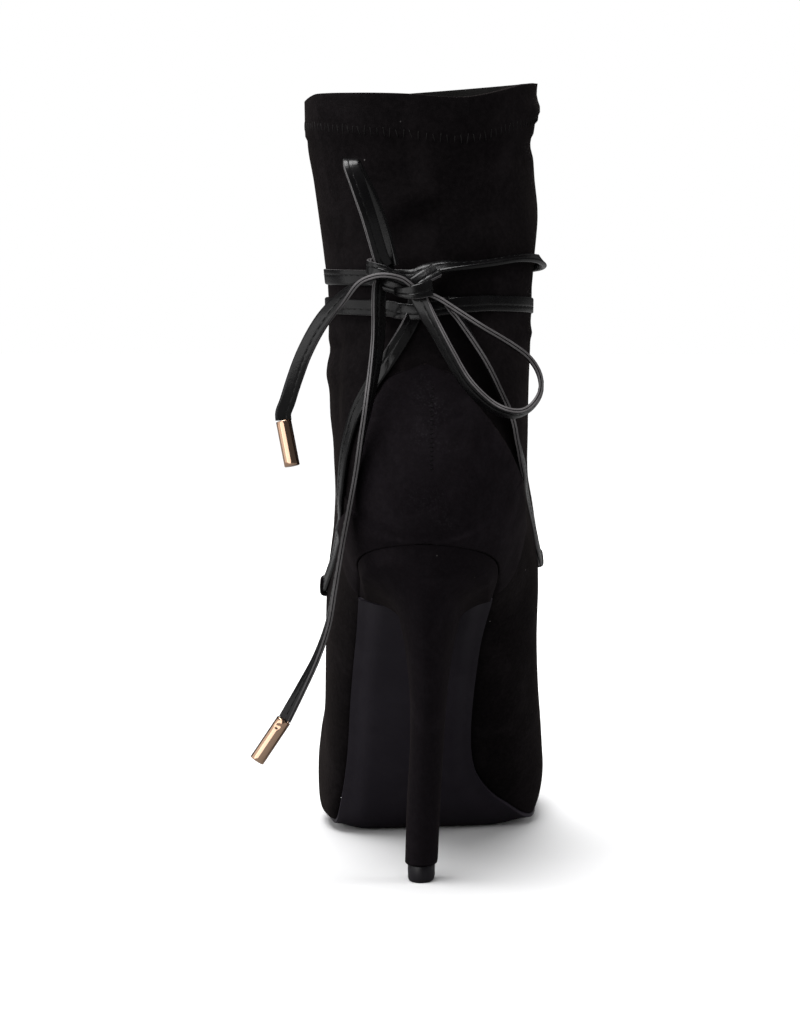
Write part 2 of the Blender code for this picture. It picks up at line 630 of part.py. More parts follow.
def sweep_strip(bm, points, faces, width, thickness, closed=False):
    """Extrudes a flat strip along points, with its wide face looking the way that faces gives at each."""
    corners = []
    count = len(points)
    for i, (point, face) in enumerate(zip(points, faces)):
        ahead = points[(i + 1) % count] if closed else points[min(i + 1, count - 1)]
        behind = points[i - 1] if closed else points[max(i - 1, 0)]
        tangent = (ahead - behind).normalized()
        normal = (face - tangent * face.dot(tangent)).normalized()
        across = tangent.cross(normal) * width * MM / 2
        depth = normal * thickness * MM / 2
        corners.append([point + across + depth, point - across + depth,
                        point - across - depth, point + across - depth])
    loops = []
    for ring in corners:
        verts = [bm.verts.new(corner) for corner in ring]
        loops.append([bm.edges.new((a, b)) for a, b in zip(verts, verts[1:] + verts[:1])])
    pairs = list(zip(loops, loops[1:]))
    if closed:
        pairs.append((loops[-1], loops[0]))
    for before, after in pairs:
        bmesh.ops.bridge_loops(bm, edges=before + after)
    if not closed:
        bmesh.ops.contextual_create(bm, geom=loops[0])
        bmesh.ops.contextual_create(bm, geom=loops[-1])
    bmesh.ops.recalc_face_normals(bm, faces=bm.faces)


def drape(tree, angle, height):
    """The point where a level ray from outside meets the upper, and the way the upper faces there."""
    turn = math.radians(angle)
    outward = Vector((math.sin(turn), -math.cos(turn), 0.0))
    start = place(0.0, ANKLE_AXIS, height) + outward * 0.2
    hit, normal, _, _ = tree.ray_cast(start, -outward)
    return hit, normal


def lace_path(tree, rows, closed):
    """Evenly spaced points along the middle of a lace run, and the way its face looks at each."""
    read = [LaceRow(*row) for row in spline(rows, math.ceil(LACE_READINGS / (len(rows) - 1)))]
    hits = [drape(tree, row.angle, row.height) for row in read]
    lengths = [0.0]
    for (before, _), (after, _) in zip(hits, hits[1:]):
        lengths.append(lengths[-1] + (after - before).length)
    steps = round(lengths[-1] / (LACE_STEP * MM))
    places = [bisect.bisect_left(lengths, lengths[-1] * i / steps) for i in range(steps + 1)]
    if closed:
        places.pop()
    normals = [sum((hits[i][1] for i in range(place - 9, min(place + 10, len(hits)))), Vector()).normalized()
               for place in places]
    lifts = [(read[i].lift + LACE_THICKNESS / 2) * MM for i in places]
    points = [hits[i][0] + normal * lift for i, normal, lift in zip(places, normals, lifts)]
    return points, normals


def make_lace_on_boot(tree):
    """The lace's run over the instep and up both sides, joined to its lower turn, and its upper turn."""
    bm = bmesh.new()
    sweep_strip(bm, *lace_path(tree, LOWER_TURN, True), LACE_WIDTH, LACE_THICKNESS, True)
    lower = add_piece("lace_run", bm, LACE_LEATHER)
    bm = bmesh.new()
    sweep_strip(bm, *lace_path(tree, LACE_RUN, False), LACE_WIDTH, LACE_THICKNESS)
    run = add_piece("lace_run_cutter", bm, LACE_LEATHER)
    boot.objects.unlink(run)
    cutters.objects.link(run)
    run.hide_render = True
    run.display_type = "WIRE"
    join = lower.modifiers.new("Join", "BOOLEAN")
    join.operation = "UNION"
    join.object = run
    bm = bmesh.new()
    sweep_strip(bm, *lace_path(tree, UPPER_TURN, True), LACE_WIDTH, LACE_THICKNESS, True)
    add_piece("lace_upper_turn", bm, LACE_LEATHER)


def make_knot():
    bm = bmesh.new()
    bmesh.ops.create_uvsphere(bm, u_segments=KNOT_STEPS_ROUND, v_segments=KNOT_STEPS_UP, radius=1.0)
    bmesh.ops.scale(bm, vec=Vector(KNOT_RADII) * MM, verts=bm.verts)
    bmesh.ops.translate(bm, vec=place(*KNOT_CENTRE), verts=bm.verts)
    add_piece("lace_knot", bm, LACE_LEATHER)


def make_cord(name, rows):
    """One free stretch of the lace along its route."""
    read = spline(rows, CORD_STEPS_PER_POINT)
    points = [place(*row[:3]) for row in read]
    bm = bmesh.new()
    sweep_strip(bm, points, [Vector(row[3:]) for row in read], LACE_WIDTH, LACE_THICKNESS)
    add_piece(name, bm, LACE_LEATHER)
    return points


def make_tip(name, cord_points, end):
    """A metal tube on the end of the lace."""
    start = cord_points[-1]
    axis = place(*end) - start
    start = start + axis.normalized() * GAP * MM
    axis = place(*end) - start
    turn = Vector((0.0, 0.0, 1.0)).rotation_difference(axis).to_matrix()
    bm = bmesh.new()
    radius = TIP_DIAMETER / 2 * MM
    bmesh.ops.create_cone(bm, cap_ends=True, segments=TIP_STEPS, radius1=radius, radius2=radius,
                           depth=axis.length)
    bmesh.ops.rotate(bm, cent=(0.0, 0.0, 0.0), matrix=turn, verts=bm.verts)
    bmesh.ops.translate(bm, vec=start + axis / 2, verts=bm.verts)
    add_piece(name, bm, ROSE_METAL)


def make_keeper(name, side, share):
    """A small suede loop that stands over the lace, with its two feet on the upper."""
    middle = upper_point(KEEPER_SECTION, side, share)
    normal = upper_normal(KEEPER_SECTION, side, share)
    upward = Vector((0.0, 0.0, 1.0))
    upward = (upward - normal * upward.dot(normal)).normalized()
    points, faces = [], []
    for turn in range(-90, 91, KEEPER_TURN_STEP):
        angle = math.radians(turn)
        rise = KEEPER_RISE * max(math.cos(angle), 0.0) ** KEEPER_SQUARENESS
        reach = KEEPER_SPAN / 2 * math.copysign(abs(math.sin(angle)) ** KEEPER_SQUARENESS, angle)
        points.append(middle + (normal * (rise + KEEPER_LIFT) + upward * reach) * MM)
        faces.append(normal * math.cos(angle) + upward * math.sin(angle))
    bm = bmesh.new()
    sweep_strip(bm, points, faces, KEEPER_WIDTH, KEEPER_WALL)
    add_piece(name, bm, SUEDE)


clear_scene()
boot = boot_collection()
cutters = bpy.data.collections.new("cutters")
bpy.context.scene.collection.children.link(cutters)
upper_tree = make_upper()
make_counter()
make_sole_layer("outsole", SEAT_LENGTH + GAP, BOOT_LENGTH, 0.0, 0.0, OUTSOLE_THICKNESS, SOLE_LEATHER)
make_sole_layer("insole", INSOLE_START, INSOLE_END, INSOLE_INSET, 2 * GAP + INSOLE_THICKNESS,
                INSOLE_THICKNESS, INSOLE_LINING)
make_heel()
make_heel_tip()
make_keeper("keeper_lateral", -1, KEEPER_LATERAL_SHARE)
make_keeper("keeper_medial", 1, KEEPER_MEDIAL_SHARE)
make_lace_on_boot(upper_tree)
make_knot()
make_cord("lace_loop_up", LOOP_UP)
make_cord("lace_loop_side", LOOP_SIDE)
make_tip("lace_tip_left", make_cord("lace_end_left", END_LEFT), TIP_LEFT_END)
make_tip("lace_tip_down", make_cord("lace_end_down", END_DOWN), TIP_DOWN_END)
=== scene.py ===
# %% [markdown]
# # Dressing a stiletto ankle boot
# The frame already holds every piece of this boot as a plain solid: the upper, the heel, the sole
# and the lace. This lesson makes what the eye meets: napped suede, a folded and sewn lace, a bow,
# metal tips and a smooth sole. Every piece is modelled in the frame's own metres, so nothing has to
# be moved into place afterwards.

# %% Load the frame
import bisect
import json
import math
from collections import namedtuple
from pathlib import Path

import bmesh
import bpy
import numpy as np
from mathutils import Matrix, Vector
from mathutils.bvhtree import BVHTree
from mathutils.kdtree import KDTree
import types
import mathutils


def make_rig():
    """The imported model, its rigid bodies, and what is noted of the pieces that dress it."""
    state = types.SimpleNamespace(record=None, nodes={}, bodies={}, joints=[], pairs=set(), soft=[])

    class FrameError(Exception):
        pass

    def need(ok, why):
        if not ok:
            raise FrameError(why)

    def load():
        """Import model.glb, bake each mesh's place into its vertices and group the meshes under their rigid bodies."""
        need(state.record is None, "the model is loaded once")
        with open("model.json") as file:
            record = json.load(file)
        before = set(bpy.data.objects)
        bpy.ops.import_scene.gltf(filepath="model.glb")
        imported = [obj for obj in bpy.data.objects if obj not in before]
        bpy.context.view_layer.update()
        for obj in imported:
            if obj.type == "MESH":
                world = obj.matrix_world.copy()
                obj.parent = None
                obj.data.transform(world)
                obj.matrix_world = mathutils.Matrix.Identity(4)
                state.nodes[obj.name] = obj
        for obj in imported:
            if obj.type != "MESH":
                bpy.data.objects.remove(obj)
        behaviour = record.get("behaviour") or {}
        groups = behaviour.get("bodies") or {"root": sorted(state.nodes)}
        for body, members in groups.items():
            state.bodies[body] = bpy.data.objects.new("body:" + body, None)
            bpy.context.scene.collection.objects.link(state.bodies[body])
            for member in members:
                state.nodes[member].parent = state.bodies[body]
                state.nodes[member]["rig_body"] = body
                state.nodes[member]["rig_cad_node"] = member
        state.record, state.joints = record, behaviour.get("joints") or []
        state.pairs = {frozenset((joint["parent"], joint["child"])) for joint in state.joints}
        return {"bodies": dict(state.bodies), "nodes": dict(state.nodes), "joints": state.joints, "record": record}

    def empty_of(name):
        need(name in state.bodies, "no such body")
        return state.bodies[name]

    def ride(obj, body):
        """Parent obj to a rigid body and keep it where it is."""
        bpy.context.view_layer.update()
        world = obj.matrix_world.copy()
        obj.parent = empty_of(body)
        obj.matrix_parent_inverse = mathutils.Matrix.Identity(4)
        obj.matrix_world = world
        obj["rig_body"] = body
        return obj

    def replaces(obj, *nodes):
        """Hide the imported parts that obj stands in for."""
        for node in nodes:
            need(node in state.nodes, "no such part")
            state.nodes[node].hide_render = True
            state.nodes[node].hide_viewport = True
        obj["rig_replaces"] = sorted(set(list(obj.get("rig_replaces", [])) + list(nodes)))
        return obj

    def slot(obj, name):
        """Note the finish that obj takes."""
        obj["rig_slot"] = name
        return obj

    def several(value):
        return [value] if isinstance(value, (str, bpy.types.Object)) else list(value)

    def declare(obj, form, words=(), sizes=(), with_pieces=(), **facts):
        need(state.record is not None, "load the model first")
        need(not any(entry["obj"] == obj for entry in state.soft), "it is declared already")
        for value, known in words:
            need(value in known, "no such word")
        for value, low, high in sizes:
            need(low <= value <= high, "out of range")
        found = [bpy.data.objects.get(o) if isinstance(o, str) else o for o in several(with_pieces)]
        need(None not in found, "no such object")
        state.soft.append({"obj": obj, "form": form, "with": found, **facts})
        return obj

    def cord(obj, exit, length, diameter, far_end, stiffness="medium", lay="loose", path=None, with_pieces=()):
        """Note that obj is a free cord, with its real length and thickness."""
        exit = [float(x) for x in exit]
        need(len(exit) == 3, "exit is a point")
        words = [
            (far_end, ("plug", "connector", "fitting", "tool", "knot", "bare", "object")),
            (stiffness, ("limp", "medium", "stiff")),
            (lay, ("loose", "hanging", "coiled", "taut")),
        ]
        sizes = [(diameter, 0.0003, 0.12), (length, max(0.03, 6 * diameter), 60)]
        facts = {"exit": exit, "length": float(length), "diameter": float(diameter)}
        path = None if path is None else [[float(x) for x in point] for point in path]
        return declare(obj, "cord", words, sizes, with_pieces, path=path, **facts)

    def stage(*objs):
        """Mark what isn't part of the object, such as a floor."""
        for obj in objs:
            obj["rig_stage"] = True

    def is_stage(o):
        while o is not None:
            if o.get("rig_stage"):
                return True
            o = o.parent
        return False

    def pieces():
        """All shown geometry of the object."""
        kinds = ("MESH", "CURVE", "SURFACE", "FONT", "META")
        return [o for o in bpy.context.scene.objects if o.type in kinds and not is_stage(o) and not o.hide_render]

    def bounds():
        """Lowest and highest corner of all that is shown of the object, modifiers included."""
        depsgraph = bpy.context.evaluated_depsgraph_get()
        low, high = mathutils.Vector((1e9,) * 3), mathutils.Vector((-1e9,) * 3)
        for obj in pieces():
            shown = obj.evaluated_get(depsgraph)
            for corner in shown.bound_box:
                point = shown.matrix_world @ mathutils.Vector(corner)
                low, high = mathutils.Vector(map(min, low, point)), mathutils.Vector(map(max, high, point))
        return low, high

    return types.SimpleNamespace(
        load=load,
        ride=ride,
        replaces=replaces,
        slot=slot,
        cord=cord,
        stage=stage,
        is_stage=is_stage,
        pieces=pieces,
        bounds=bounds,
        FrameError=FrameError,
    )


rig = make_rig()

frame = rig.load()
cad_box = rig.bounds()
print("nodes in the frame:", len(frame["nodes"]))

# %% [markdown]
# ## Measures and small helpers
# A boot is easiest to think of in millimetres, measured forward from the back of its heel seat. One
# function turns those into the frame's metres. The shapes come from short tables, read through
# smooth curves, so a row can be changed and all follows.

# %% Units and curves
MM = 0.001
HEEL_TO_TREAD = 139.0


def place(x, along, height):
    """Boot millimetres to the frame's metres."""
    return Vector((x, along - HEEL_TO_TREAD, height)) * MM


def smooth_curve(xs, ys):
    """A smooth function through the points, which never swings past them."""
    spans = [after - before for before, after in zip(xs, xs[1:])]
    rises = [(after - before) / span for before, after, span in zip(ys, ys[1:], spans)]
    slopes = [rises[0]]
    for i in range(1, len(rises)):
        before, after = rises[i - 1], rises[i]
        mean = (before * spans[i] + after * spans[i - 1]) / (spans[i] + spans[i - 1])
        limit = 3 * min(abs(before), abs(after)) if before * after > 0 else 0.0
        slopes.append(math.copysign(min(abs(mean), limit), mean))
    slopes.append(rises[-1])

    def value(x):
        x = min(max(x, xs[0]), xs[-1])
        i = min(bisect.bisect_right(xs, x) - 1, len(spans) - 1)
        u = (x - xs[i]) / spans[i]
        start = ys[i] * (1 + 2 * u) * (1 - u) ** 2 + slopes[i] * spans[i] * u * (1 - u) ** 2
        end = ys[i + 1] * u * u * (3 - 2 * u) - slopes[i + 1] * spans[i] * u * u * (1 - u)
        return start + end

    return value


def table(kind, rows):
    """Plain rows of values as named rows."""
    return [kind(*row) for row in rows]


def table_curves(rows, along):
    """One smooth function for each column of a table, read against the column named along."""
    xs = [getattr(row, along) for row in rows]
    return {name: smooth_curve(xs, [getattr(row, name) for row in rows]) for name in rows[0]._fields}


def through(points, steps):
    """Points read off a Catmull-Rom curve through the given rows, with steps between each two."""
    rows = [tuple(row) for row in points]
    padded = [tuple(2 * a - b for a, b in zip(rows[0], rows[1]))] + rows
    padded.append(tuple(2 * a - b for a, b in zip(rows[-1], rows[-2])))
    read = []
    for i in range(len(rows) - 1):
        four = padded[i:i + 4]
        for k in range(steps + (i == len(rows) - 2)):
            u = k / steps
            read.append(tuple(
                b + 0.5 * u * (c - a + u * (2 * a - 5 * b + 4 * c - d + u * (3 * (b - c) + d - a)))
                for a, b, c, d in zip(*four)))
    return read


def soft_step(value):
    """0 below 0, 1 above 1 and a soft ramp between."""
    value = min(max(value, 0.0), 1.0)
    return value * value * (3 - 2 * value)


print("a point on the heel's back:", tuple(round(v, 4) for v in place(0, 0, 111)))

# %% [markdown]
# ## Camera and studio
# The boot is looked at from straight behind, a little above the knot, from about 0.8 m. The place
# of the camera fixes the perspective, so it is kept, and the camera is only turned to face this one
# boot. Soft light from above keeps the floor white all over. Two wide pale screens, on the left and
# beside the camera, show in the glossy lace and the metal. Three lamps that gloss doesn't mirror
# lift the suede. The camera sees a white wall, while the room itself stays dim so that black stays
# black.

# %% Camera
CAMERA_PLACE = (38.6, -800.0, 180.3)
CAMERA_PITCH = 4.13
CAMERA_TURN = 3.3
CLIP_START = 0.01
FOCAL_PIXELS = 2599.0
PICTURE_HEIGHT = 1013.0
SENSOR_WIDTH = 36.0


def add_object(name, data):
    """An object in the scene for a mesh, a camera or a light."""
    made = bpy.data.objects.new(name, data)
    bpy.context.scene.collection.objects.link(made)
    return made


camera_data = bpy.data.cameras.new("camera")
camera_data.sensor_width = SENSOR_WIDTH
camera_data.lens = FOCAL_PIXELS / PICTURE_HEIGHT * SENSOR_WIDTH
camera_data.clip_start = CLIP_START
camera = add_object("camera", camera_data)
camera.location = place(*CAMERA_PLACE)
camera.rotation_euler = (math.radians(90 - CAMERA_PITCH), 0.0, math.radians(CAMERA_TURN))
bpy.context.scene.camera = camera
print("lens", round(camera_data.lens, 1), "mm")

# %% Lamps
Lamp = namedtuple("Lamp", "name x along height aim_x aim_along aim_height size power mirrored")
LAMPS = table(Lamp, [
    ("left_screen", -1100, -160, 330, 0, 30, 160, 1300, 2.5, True),
    ("back_screen", -620, -920, 330, 0, 30, 160, 1200, 5.0, True),
    ("left_softbox", -950, 60, 420, 0, 30, 160, 850, 2.2, False),
    ("right_softbox", 950, 60, 420, 0, 30, 160, 850, 3.4, False),
    ("front_softbox", 0, 1300, 600, 0, 80, 100, 900, 9.0, False),
])
OVERHEAD_STRENGTH = 3.5
OVERHEAD_SPREAD = 45.0
OVERHEAD_TILT = (6, -8)

for lamp in LAMPS:
    data = bpy.data.lights.new(lamp.name, "AREA")
    data.shape = "DISK"
    data.size = lamp.size * MM
    data.energy = lamp.power
    light = add_object(lamp.name, data)
    light.location = place(lamp.x, lamp.along, lamp.height)
    aim = place(lamp.aim_x, lamp.aim_along, lamp.aim_height) - light.location
    light.rotation_euler = aim.to_track_quat("-Z", "Y").to_euler()
    light.visible_glossy = lamp.mirrored

overhead_data = bpy.data.lights.new("overhead", "SUN")
overhead_data.energy = OVERHEAD_STRENGTH
overhead_data.angle = math.radians(OVERHEAD_SPREAD)
overhead = add_object("overhead", overhead_data)
overhead.rotation_euler = (math.radians(OVERHEAD_TILT[0]), math.radians(OVERHEAD_TILT[1]), 0.0)
print("lamps:", len(LAMPS))

# %% Room
WHITE = (1.0, 1.0, 1.0, 1.0)
ROOM_STRENGTH = 0.05


def show_camera(tree, shown, other, output):
    """The camera sees one shader, and all other light meets the other one."""
    ray = tree.nodes.new("ShaderNodeLightPath")
    either = tree.nodes.new("ShaderNodeMixShader")
    tree.links.new(ray.outputs["Is Camera Ray"], either.inputs["Fac"])
    tree.links.new(other.outputs[0], either.inputs[1])
    tree.links.new(shown.outputs[0], either.inputs[2])
    tree.links.new(either.outputs["Shader"], tree.nodes[output].inputs["Surface"])


world = bpy.data.worlds.new("studio")
world.use_nodes = True
bpy.context.scene.world = world
room = world.node_tree.nodes["Background"]
room.inputs["Color"].default_value = WHITE
room.inputs["Strength"].default_value = ROOM_STRENGTH
white_wall = world.node_tree.nodes.new("ShaderNodeBackground")
white_wall.inputs["Color"].default_value = WHITE
show_camera(world.node_tree, white_wall, room, "World Output")
bpy.context.scene.view_settings.view_transform = "Standard"
print("room:", world.name)

# %% Floor
FLOOR_SIZE = 12.0
FLOOR_COLOUR = (0.92, 0.92, 0.925, 1.0)
FLOOR_BOUNCE = (0.17, 0.17, 0.17, 1.0)
FLOOR_ROUGHNESS = 0.8

floor_bm = bmesh.new()
bmesh.ops.create_grid(floor_bm, x_segments=1, y_segments=1, size=FLOOR_SIZE)
floor_mesh = bpy.data.meshes.new("floor")
floor_bm.to_mesh(floor_mesh)
floor_bm.free()
floor = add_object("floor", floor_mesh)
paper = bpy.data.materials.new("studio_paper")
paper.use_nodes = True
paper_shader = paper.node_tree.nodes["Principled BSDF"]
paper_shader.inputs["Roughness"].default_value = FLOOR_ROUGHNESS
paper_shader.inputs["Specular IOR Level"].default_value = 0.0
paper_shader.inputs["Base Color"].default_value = FLOOR_COLOUR
dim_paper = paper.node_tree.nodes.new("ShaderNodeBsdfDiffuse")
dim_paper.inputs["Color"].default_value = FLOOR_BOUNCE
show_camera(paper.node_tree, paper_shader, dim_paper, "Material Output")
floor_mesh.materials.append(paper)
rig.stage(floor)
print("floor:", FLOOR_SIZE * 2, "m")

# %% [markdown]
# ## Finishes
# Suede is a felt of cut fibres: it swallows light when looked at straight on and glows faintly at
# its edges. A matte base with a little sheen gives that, and noise at several sizes gives the
# brushed patches of its nap. Grain and lint are shared by several finishes, so they are node groups
# that only put out colours and heights.

# %% Node helpers


def new_group(name, inputs, outputs):
    """An empty shader group with named sockets."""
    group = bpy.data.node_groups.new(name, "ShaderNodeTree")
    for socket, kind, default in inputs:
        made = group.interface.new_socket(socket, in_out="INPUT", socket_type=kind)
        if default is not None:
            made.default_value = default
    for socket, kind in outputs:
        group.interface.new_socket(socket, in_out="OUTPUT", socket_type=kind)
    return group, group.nodes.new("NodeGroupInput"), group.nodes.new("NodeGroupOutput")


def node(tree, kind, values=None, **settings):
    """A node with its settings and its unlinked input values."""
    made = tree.nodes.new(kind)
    for name, value in settings.items():
        setattr(made, name, value)
    for name, value in (values or {}).items():
        made.inputs[name].default_value = value
    return made


def noise(tree, vector, scale, detail=3.0, roughness=0.55):
    made = node(tree, "ShaderNodeTexNoise", {"Scale": scale, "Detail": detail, "Roughness": roughness})
    tree.links.new(vector, made.inputs["Vector"])
    return made.outputs["Fac"]


def between(tree, value, low, high, start=0.0, end=1.0):
    """The value's stretch from low to high, mapped to start and end with a soft ramp."""
    ends = {"From Min": low, "From Max": high, "To Min": start, "To Max": end}
    made = node(tree, "ShaderNodeMapRange", ends, interpolation_type="SMOOTHSTEP")
    tree.links.new(value, made.inputs["Value"])
    return made.outputs["Result"]


def maths(tree, operation, first, second):
    made = node(tree, "ShaderNodeMath", operation=operation)
    for socket, value in zip(made.inputs, (first, second)):
        if isinstance(value, (int, float)):
            socket.default_value = value
        else:
            tree.links.new(value, socket)
    return made.outputs["Value"]


def mix_colour(tree, factor, first, second):
    made = node(tree, "ShaderNodeMix", data_type="RGBA")
    for socket, value in ((made.inputs[0], factor), (made.inputs[6], first), (made.inputs[7], second)):
        if isinstance(value, (int, float, tuple)):
            socket.default_value = value
        else:
            tree.links.new(value, socket)
    return made.outputs[2]


# %% The nap of suede as a group
LINT_COLOUR = (0.16, 0.15, 0.15, 1.0)

suede_group, group_in, group_out = new_group(
    "suede_nap",
    [("Vector", "NodeSocketVector", None), ("Dark", "NodeSocketColor", None),
     ("Brushed", "NodeSocketColor", None), ("Patch Size", "NodeSocketFloat", 55.0),
     ("Lint", "NodeSocketFloat", 1.0)],
    [("Colour", "NodeSocketColor"), ("Roughness", "NodeSocketFloat"), ("Height", "NodeSocketFloat")])
vector = group_in.outputs["Vector"]
patch_noise = node(
    suede_group, "ShaderNodeTexNoise", {"Detail": 4.0, "Roughness": 0.6, "Distortion": 0.8})
suede_group.links.new(vector, patch_noise.inputs["Vector"])
suede_group.links.new(group_in.outputs["Patch Size"], patch_noise.inputs["Scale"])
patches = between(suede_group, patch_noise.outputs["Fac"], 0.42, 0.72)
fibres = noise(suede_group, vector, 2600.0, 2.0, 0.6)
tufts = noise(suede_group, vector, 620.0, 3.0, 0.65)
mottle = maths(suede_group, "MULTIPLY", between(suede_group, tufts, 0.3, 0.75), 0.45)
brushed = maths(suede_group, "ADD", maths(suede_group, "MULTIPLY", patches, 0.55), mottle)
napped = mix_colour(suede_group, brushed, group_in.outputs["Dark"], group_in.outputs["Brushed"])
lint_cells = node(suede_group, "ShaderNodeTexVoronoi", {"Scale": 260.0, "Randomness": 1.0})
suede_group.links.new(vector, lint_cells.inputs["Vector"])
lint_near = between(suede_group, lint_cells.outputs["Distance"], 0.1, 0.03)
cell_colour = node(suede_group, "ShaderNodeSeparateColor")
suede_group.links.new(lint_cells.outputs["Color"], cell_colour.inputs["Color"])
lint_rare = between(suede_group, cell_colour.outputs["Red"], 0.975, 0.985)
lint_specks = maths(suede_group, "MULTIPLY", lint_near, lint_rare)
lint = maths(suede_group, "MULTIPLY", lint_specks, group_in.outputs["Lint"])
linty = mix_colour(suede_group, lint, napped, LINT_COLOUR)
suede_group.links.new(linty, group_out.inputs["Colour"])
suede_group.links.new(between(suede_group, brushed, 0.0, 1.0, 0.97, 0.86), group_out.inputs["Roughness"])
height = maths(suede_group, "ADD", maths(suede_group, "MULTIPLY", fibres, 0.5), tufts)
suede_group.links.new(height, group_out.inputs["Height"])

# %% The grain of coated leather and rubber as a group
grain_group, group_in, group_out = new_group(
    "fine_grain",
    [("Vector", "NodeSocketVector", None), ("Low Colour", "NodeSocketColor", None),
     ("High Colour", "NodeSocketColor", None), ("Grain Size", "NodeSocketFloat", 900.0),
     ("Smooth", "NodeSocketFloat", 0.3), ("Rough", "NodeSocketFloat", 0.45)],
    [("Colour", "NodeSocketColor"), ("Roughness", "NodeSocketFloat"), ("Height", "NodeSocketFloat")])
vector = group_in.outputs["Vector"]
pebbles = node(grain_group, "ShaderNodeTexVoronoi", {"Randomness": 1.0}, feature="SMOOTH_F1")
grain_group.links.new(vector, pebbles.inputs["Vector"])
grain_group.links.new(group_in.outputs["Grain Size"], pebbles.inputs["Scale"])
clouds = noise(grain_group, vector, 70.0, 4.0, 0.6)
dust = noise(grain_group, vector, 900.0, 2.0, 0.6)
shade = between(grain_group, clouds, 0.35, 0.7)
grain_group.links.new(
    mix_colour(grain_group, shade, group_in.outputs["Low Colour"], group_in.outputs["High Colour"]),
    group_out.inputs["Colour"])
rough_range = node(grain_group, "ShaderNodeMapRange", {"From Min": 0.3, "From Max": 0.7})
grain_group.links.new(maths(grain_group, "ADD", maths(grain_group, "MULTIPLY", clouds, 0.6),
                            maths(grain_group, "MULTIPLY", dust, 0.4)), rough_range.inputs["Value"])
grain_group.links.new(group_in.outputs["Smooth"], rough_range.inputs["To Min"])
grain_group.links.new(group_in.outputs["Rough"], rough_range.inputs["To Max"])
grain_group.links.new(rough_range.outputs["Result"], group_out.inputs["Roughness"])
grain_height = maths(
    grain_group, "ADD", pebbles.outputs["Distance"], maths(grain_group, "MULTIPLY", dust, 0.3))
grain_group.links.new(grain_height, group_out.inputs["Height"])
print("groups:", [group.name for group in bpy.data.node_groups if group.type == "SHADER"])

# %% Material helpers
ChalkSpot = namedtuple("ChalkSpot", "x along height half_width half_height strength")


def chalk_mask(tree, position, spots):
    """Soft spots broken up by noise, as where a hand has brushed the nap the wrong way."""
    broken = between(tree, noise(tree, position, 1500.0, 4.0, 0.6), 0.5, 0.7)
    total = 0.0
    for spot in spots:
        size = Vector((spot.half_width, 3 * spot.half_width, spot.half_height)) * MM
        centre = place(spot.x, spot.along, spot.height)
        moved = node(tree, "ShaderNodeMapping", {"Location": centre, "Scale": size}, vector_type="TEXTURE")
        tree.links.new(position, moved.inputs["Vector"])
        ball = node(tree, "ShaderNodeTexGradient", gradient_type="SPHERICAL")
        tree.links.new(moved.outputs["Vector"], ball.inputs["Vector"])
        total = maths(tree, "ADD", maths(tree, "MULTIPLY", ball.outputs["Fac"], spot.strength), total)
    return maths(tree, "MULTIPLY", total, broken)


def grouped_material(name, group, values, bump, shader_values, chalk=()):
    """A material with colour, roughness and bump from a group. Plain values sit on the shader."""
    material = bpy.data.materials.new(name)
    material.use_nodes = True
    tree = material.node_tree
    shader = tree.nodes["Principled BSDF"]
    for socket, value in shader_values.items():
        shader.inputs[socket].default_value = value
    effect = node(tree, "ShaderNodeGroup", node_tree=group)
    for socket, value in values.items():
        effect.inputs[socket].default_value = (*value, 1.0) if isinstance(value, tuple) else value
    where = node(tree, "ShaderNodeTexCoord")
    tree.links.new(where.outputs["Object"], effect.inputs["Vector"])
    colour = effect.outputs["Colour"]
    if chalk:
        colour = mix_colour(tree, chalk_mask(tree, where.outputs["Object"], chalk), colour, CHALK_COLOUR)
    tree.links.new(colour, shader.inputs["Base Color"])
    tree.links.new(effect.outputs["Roughness"], shader.inputs["Roughness"])
    relief = node(tree, "ShaderNodeBump", {"Strength": bump[0], "Distance": bump[1] * MM})
    tree.links.new(effect.outputs["Height"], relief.inputs["Height"])
    tree.links.new(relief.outputs["Normal"], shader.inputs["Normal"])
    return material


def suede_finish(name, dark, brushed, patch_size, lint, bump, chalk=()):
    values = {"Dark": dark, "Brushed": brushed, "Patch Size": patch_size, "Lint": lint}
    return grouped_material(name, suede_group, values, bump, SUEDE_SHEEN, chalk)


def grain_finish(name, low, high, grain_size, smooth, rough, bump, specular=0.5, metallic=0.0):
    values = {"Low Colour": low, "High Colour": high, "Grain Size": grain_size,
              "Smooth": smooth, "Rough": rough}
    return grouped_material(
        name, grain_group, values, bump, {"Specular IOR Level": specular, "Metallic": metallic})


# %% Materials
CHALK_COLOUR = (0.042, 0.039, 0.044, 1.0)
CHALK_SPOTS = table(ChalkSpot, [
    (-0.5, 0, 157.0, 5.0, 11.0, 0.5), (5.0, 0, 152.0, 5.0, 8.0, 0.4), (0.5, 0, 144.0, 7.0, 6.0, 0.45),
    (8.0, 0, 141.0, 6.0, 4.0, 0.3), (2.0, 0, 124.0, 10.0, 6.0, 0.45), (6.5, 0, 117.5, 6.0, 4.0, 0.5),
    (-22.0, 0, 129.0, 4.0, 5.0, 0.4), (2.8, 0, 148.0, 1.8, 13.0, 0.6),
])
SUEDE_SHEEN = {"Specular IOR Level": 0.04, "Sheen Weight": 0.035, "Sheen Roughness": 0.35,
               "Sheen Tint": (0.62, 0.50, 0.44, 1.0)}
suede = suede_finish(
    "black_suede", (0.0058, 0.0048, 0.0053), (0.0136, 0.0112, 0.0122), 48.0, 1.0, (0.55, 0.25))
# This copy of the suede is lighter than the shaft's: painted light, for the light that the counter catches while the
# shaft above it lies in shade.
counter_suede_painted_lighter = suede_finish(
    "black_suede_counter", (0.0096, 0.0077, 0.0094), (0.0168, 0.0138, 0.0166), 60.0, 1.5, (0.5, 0.22),
    CHALK_SPOTS)
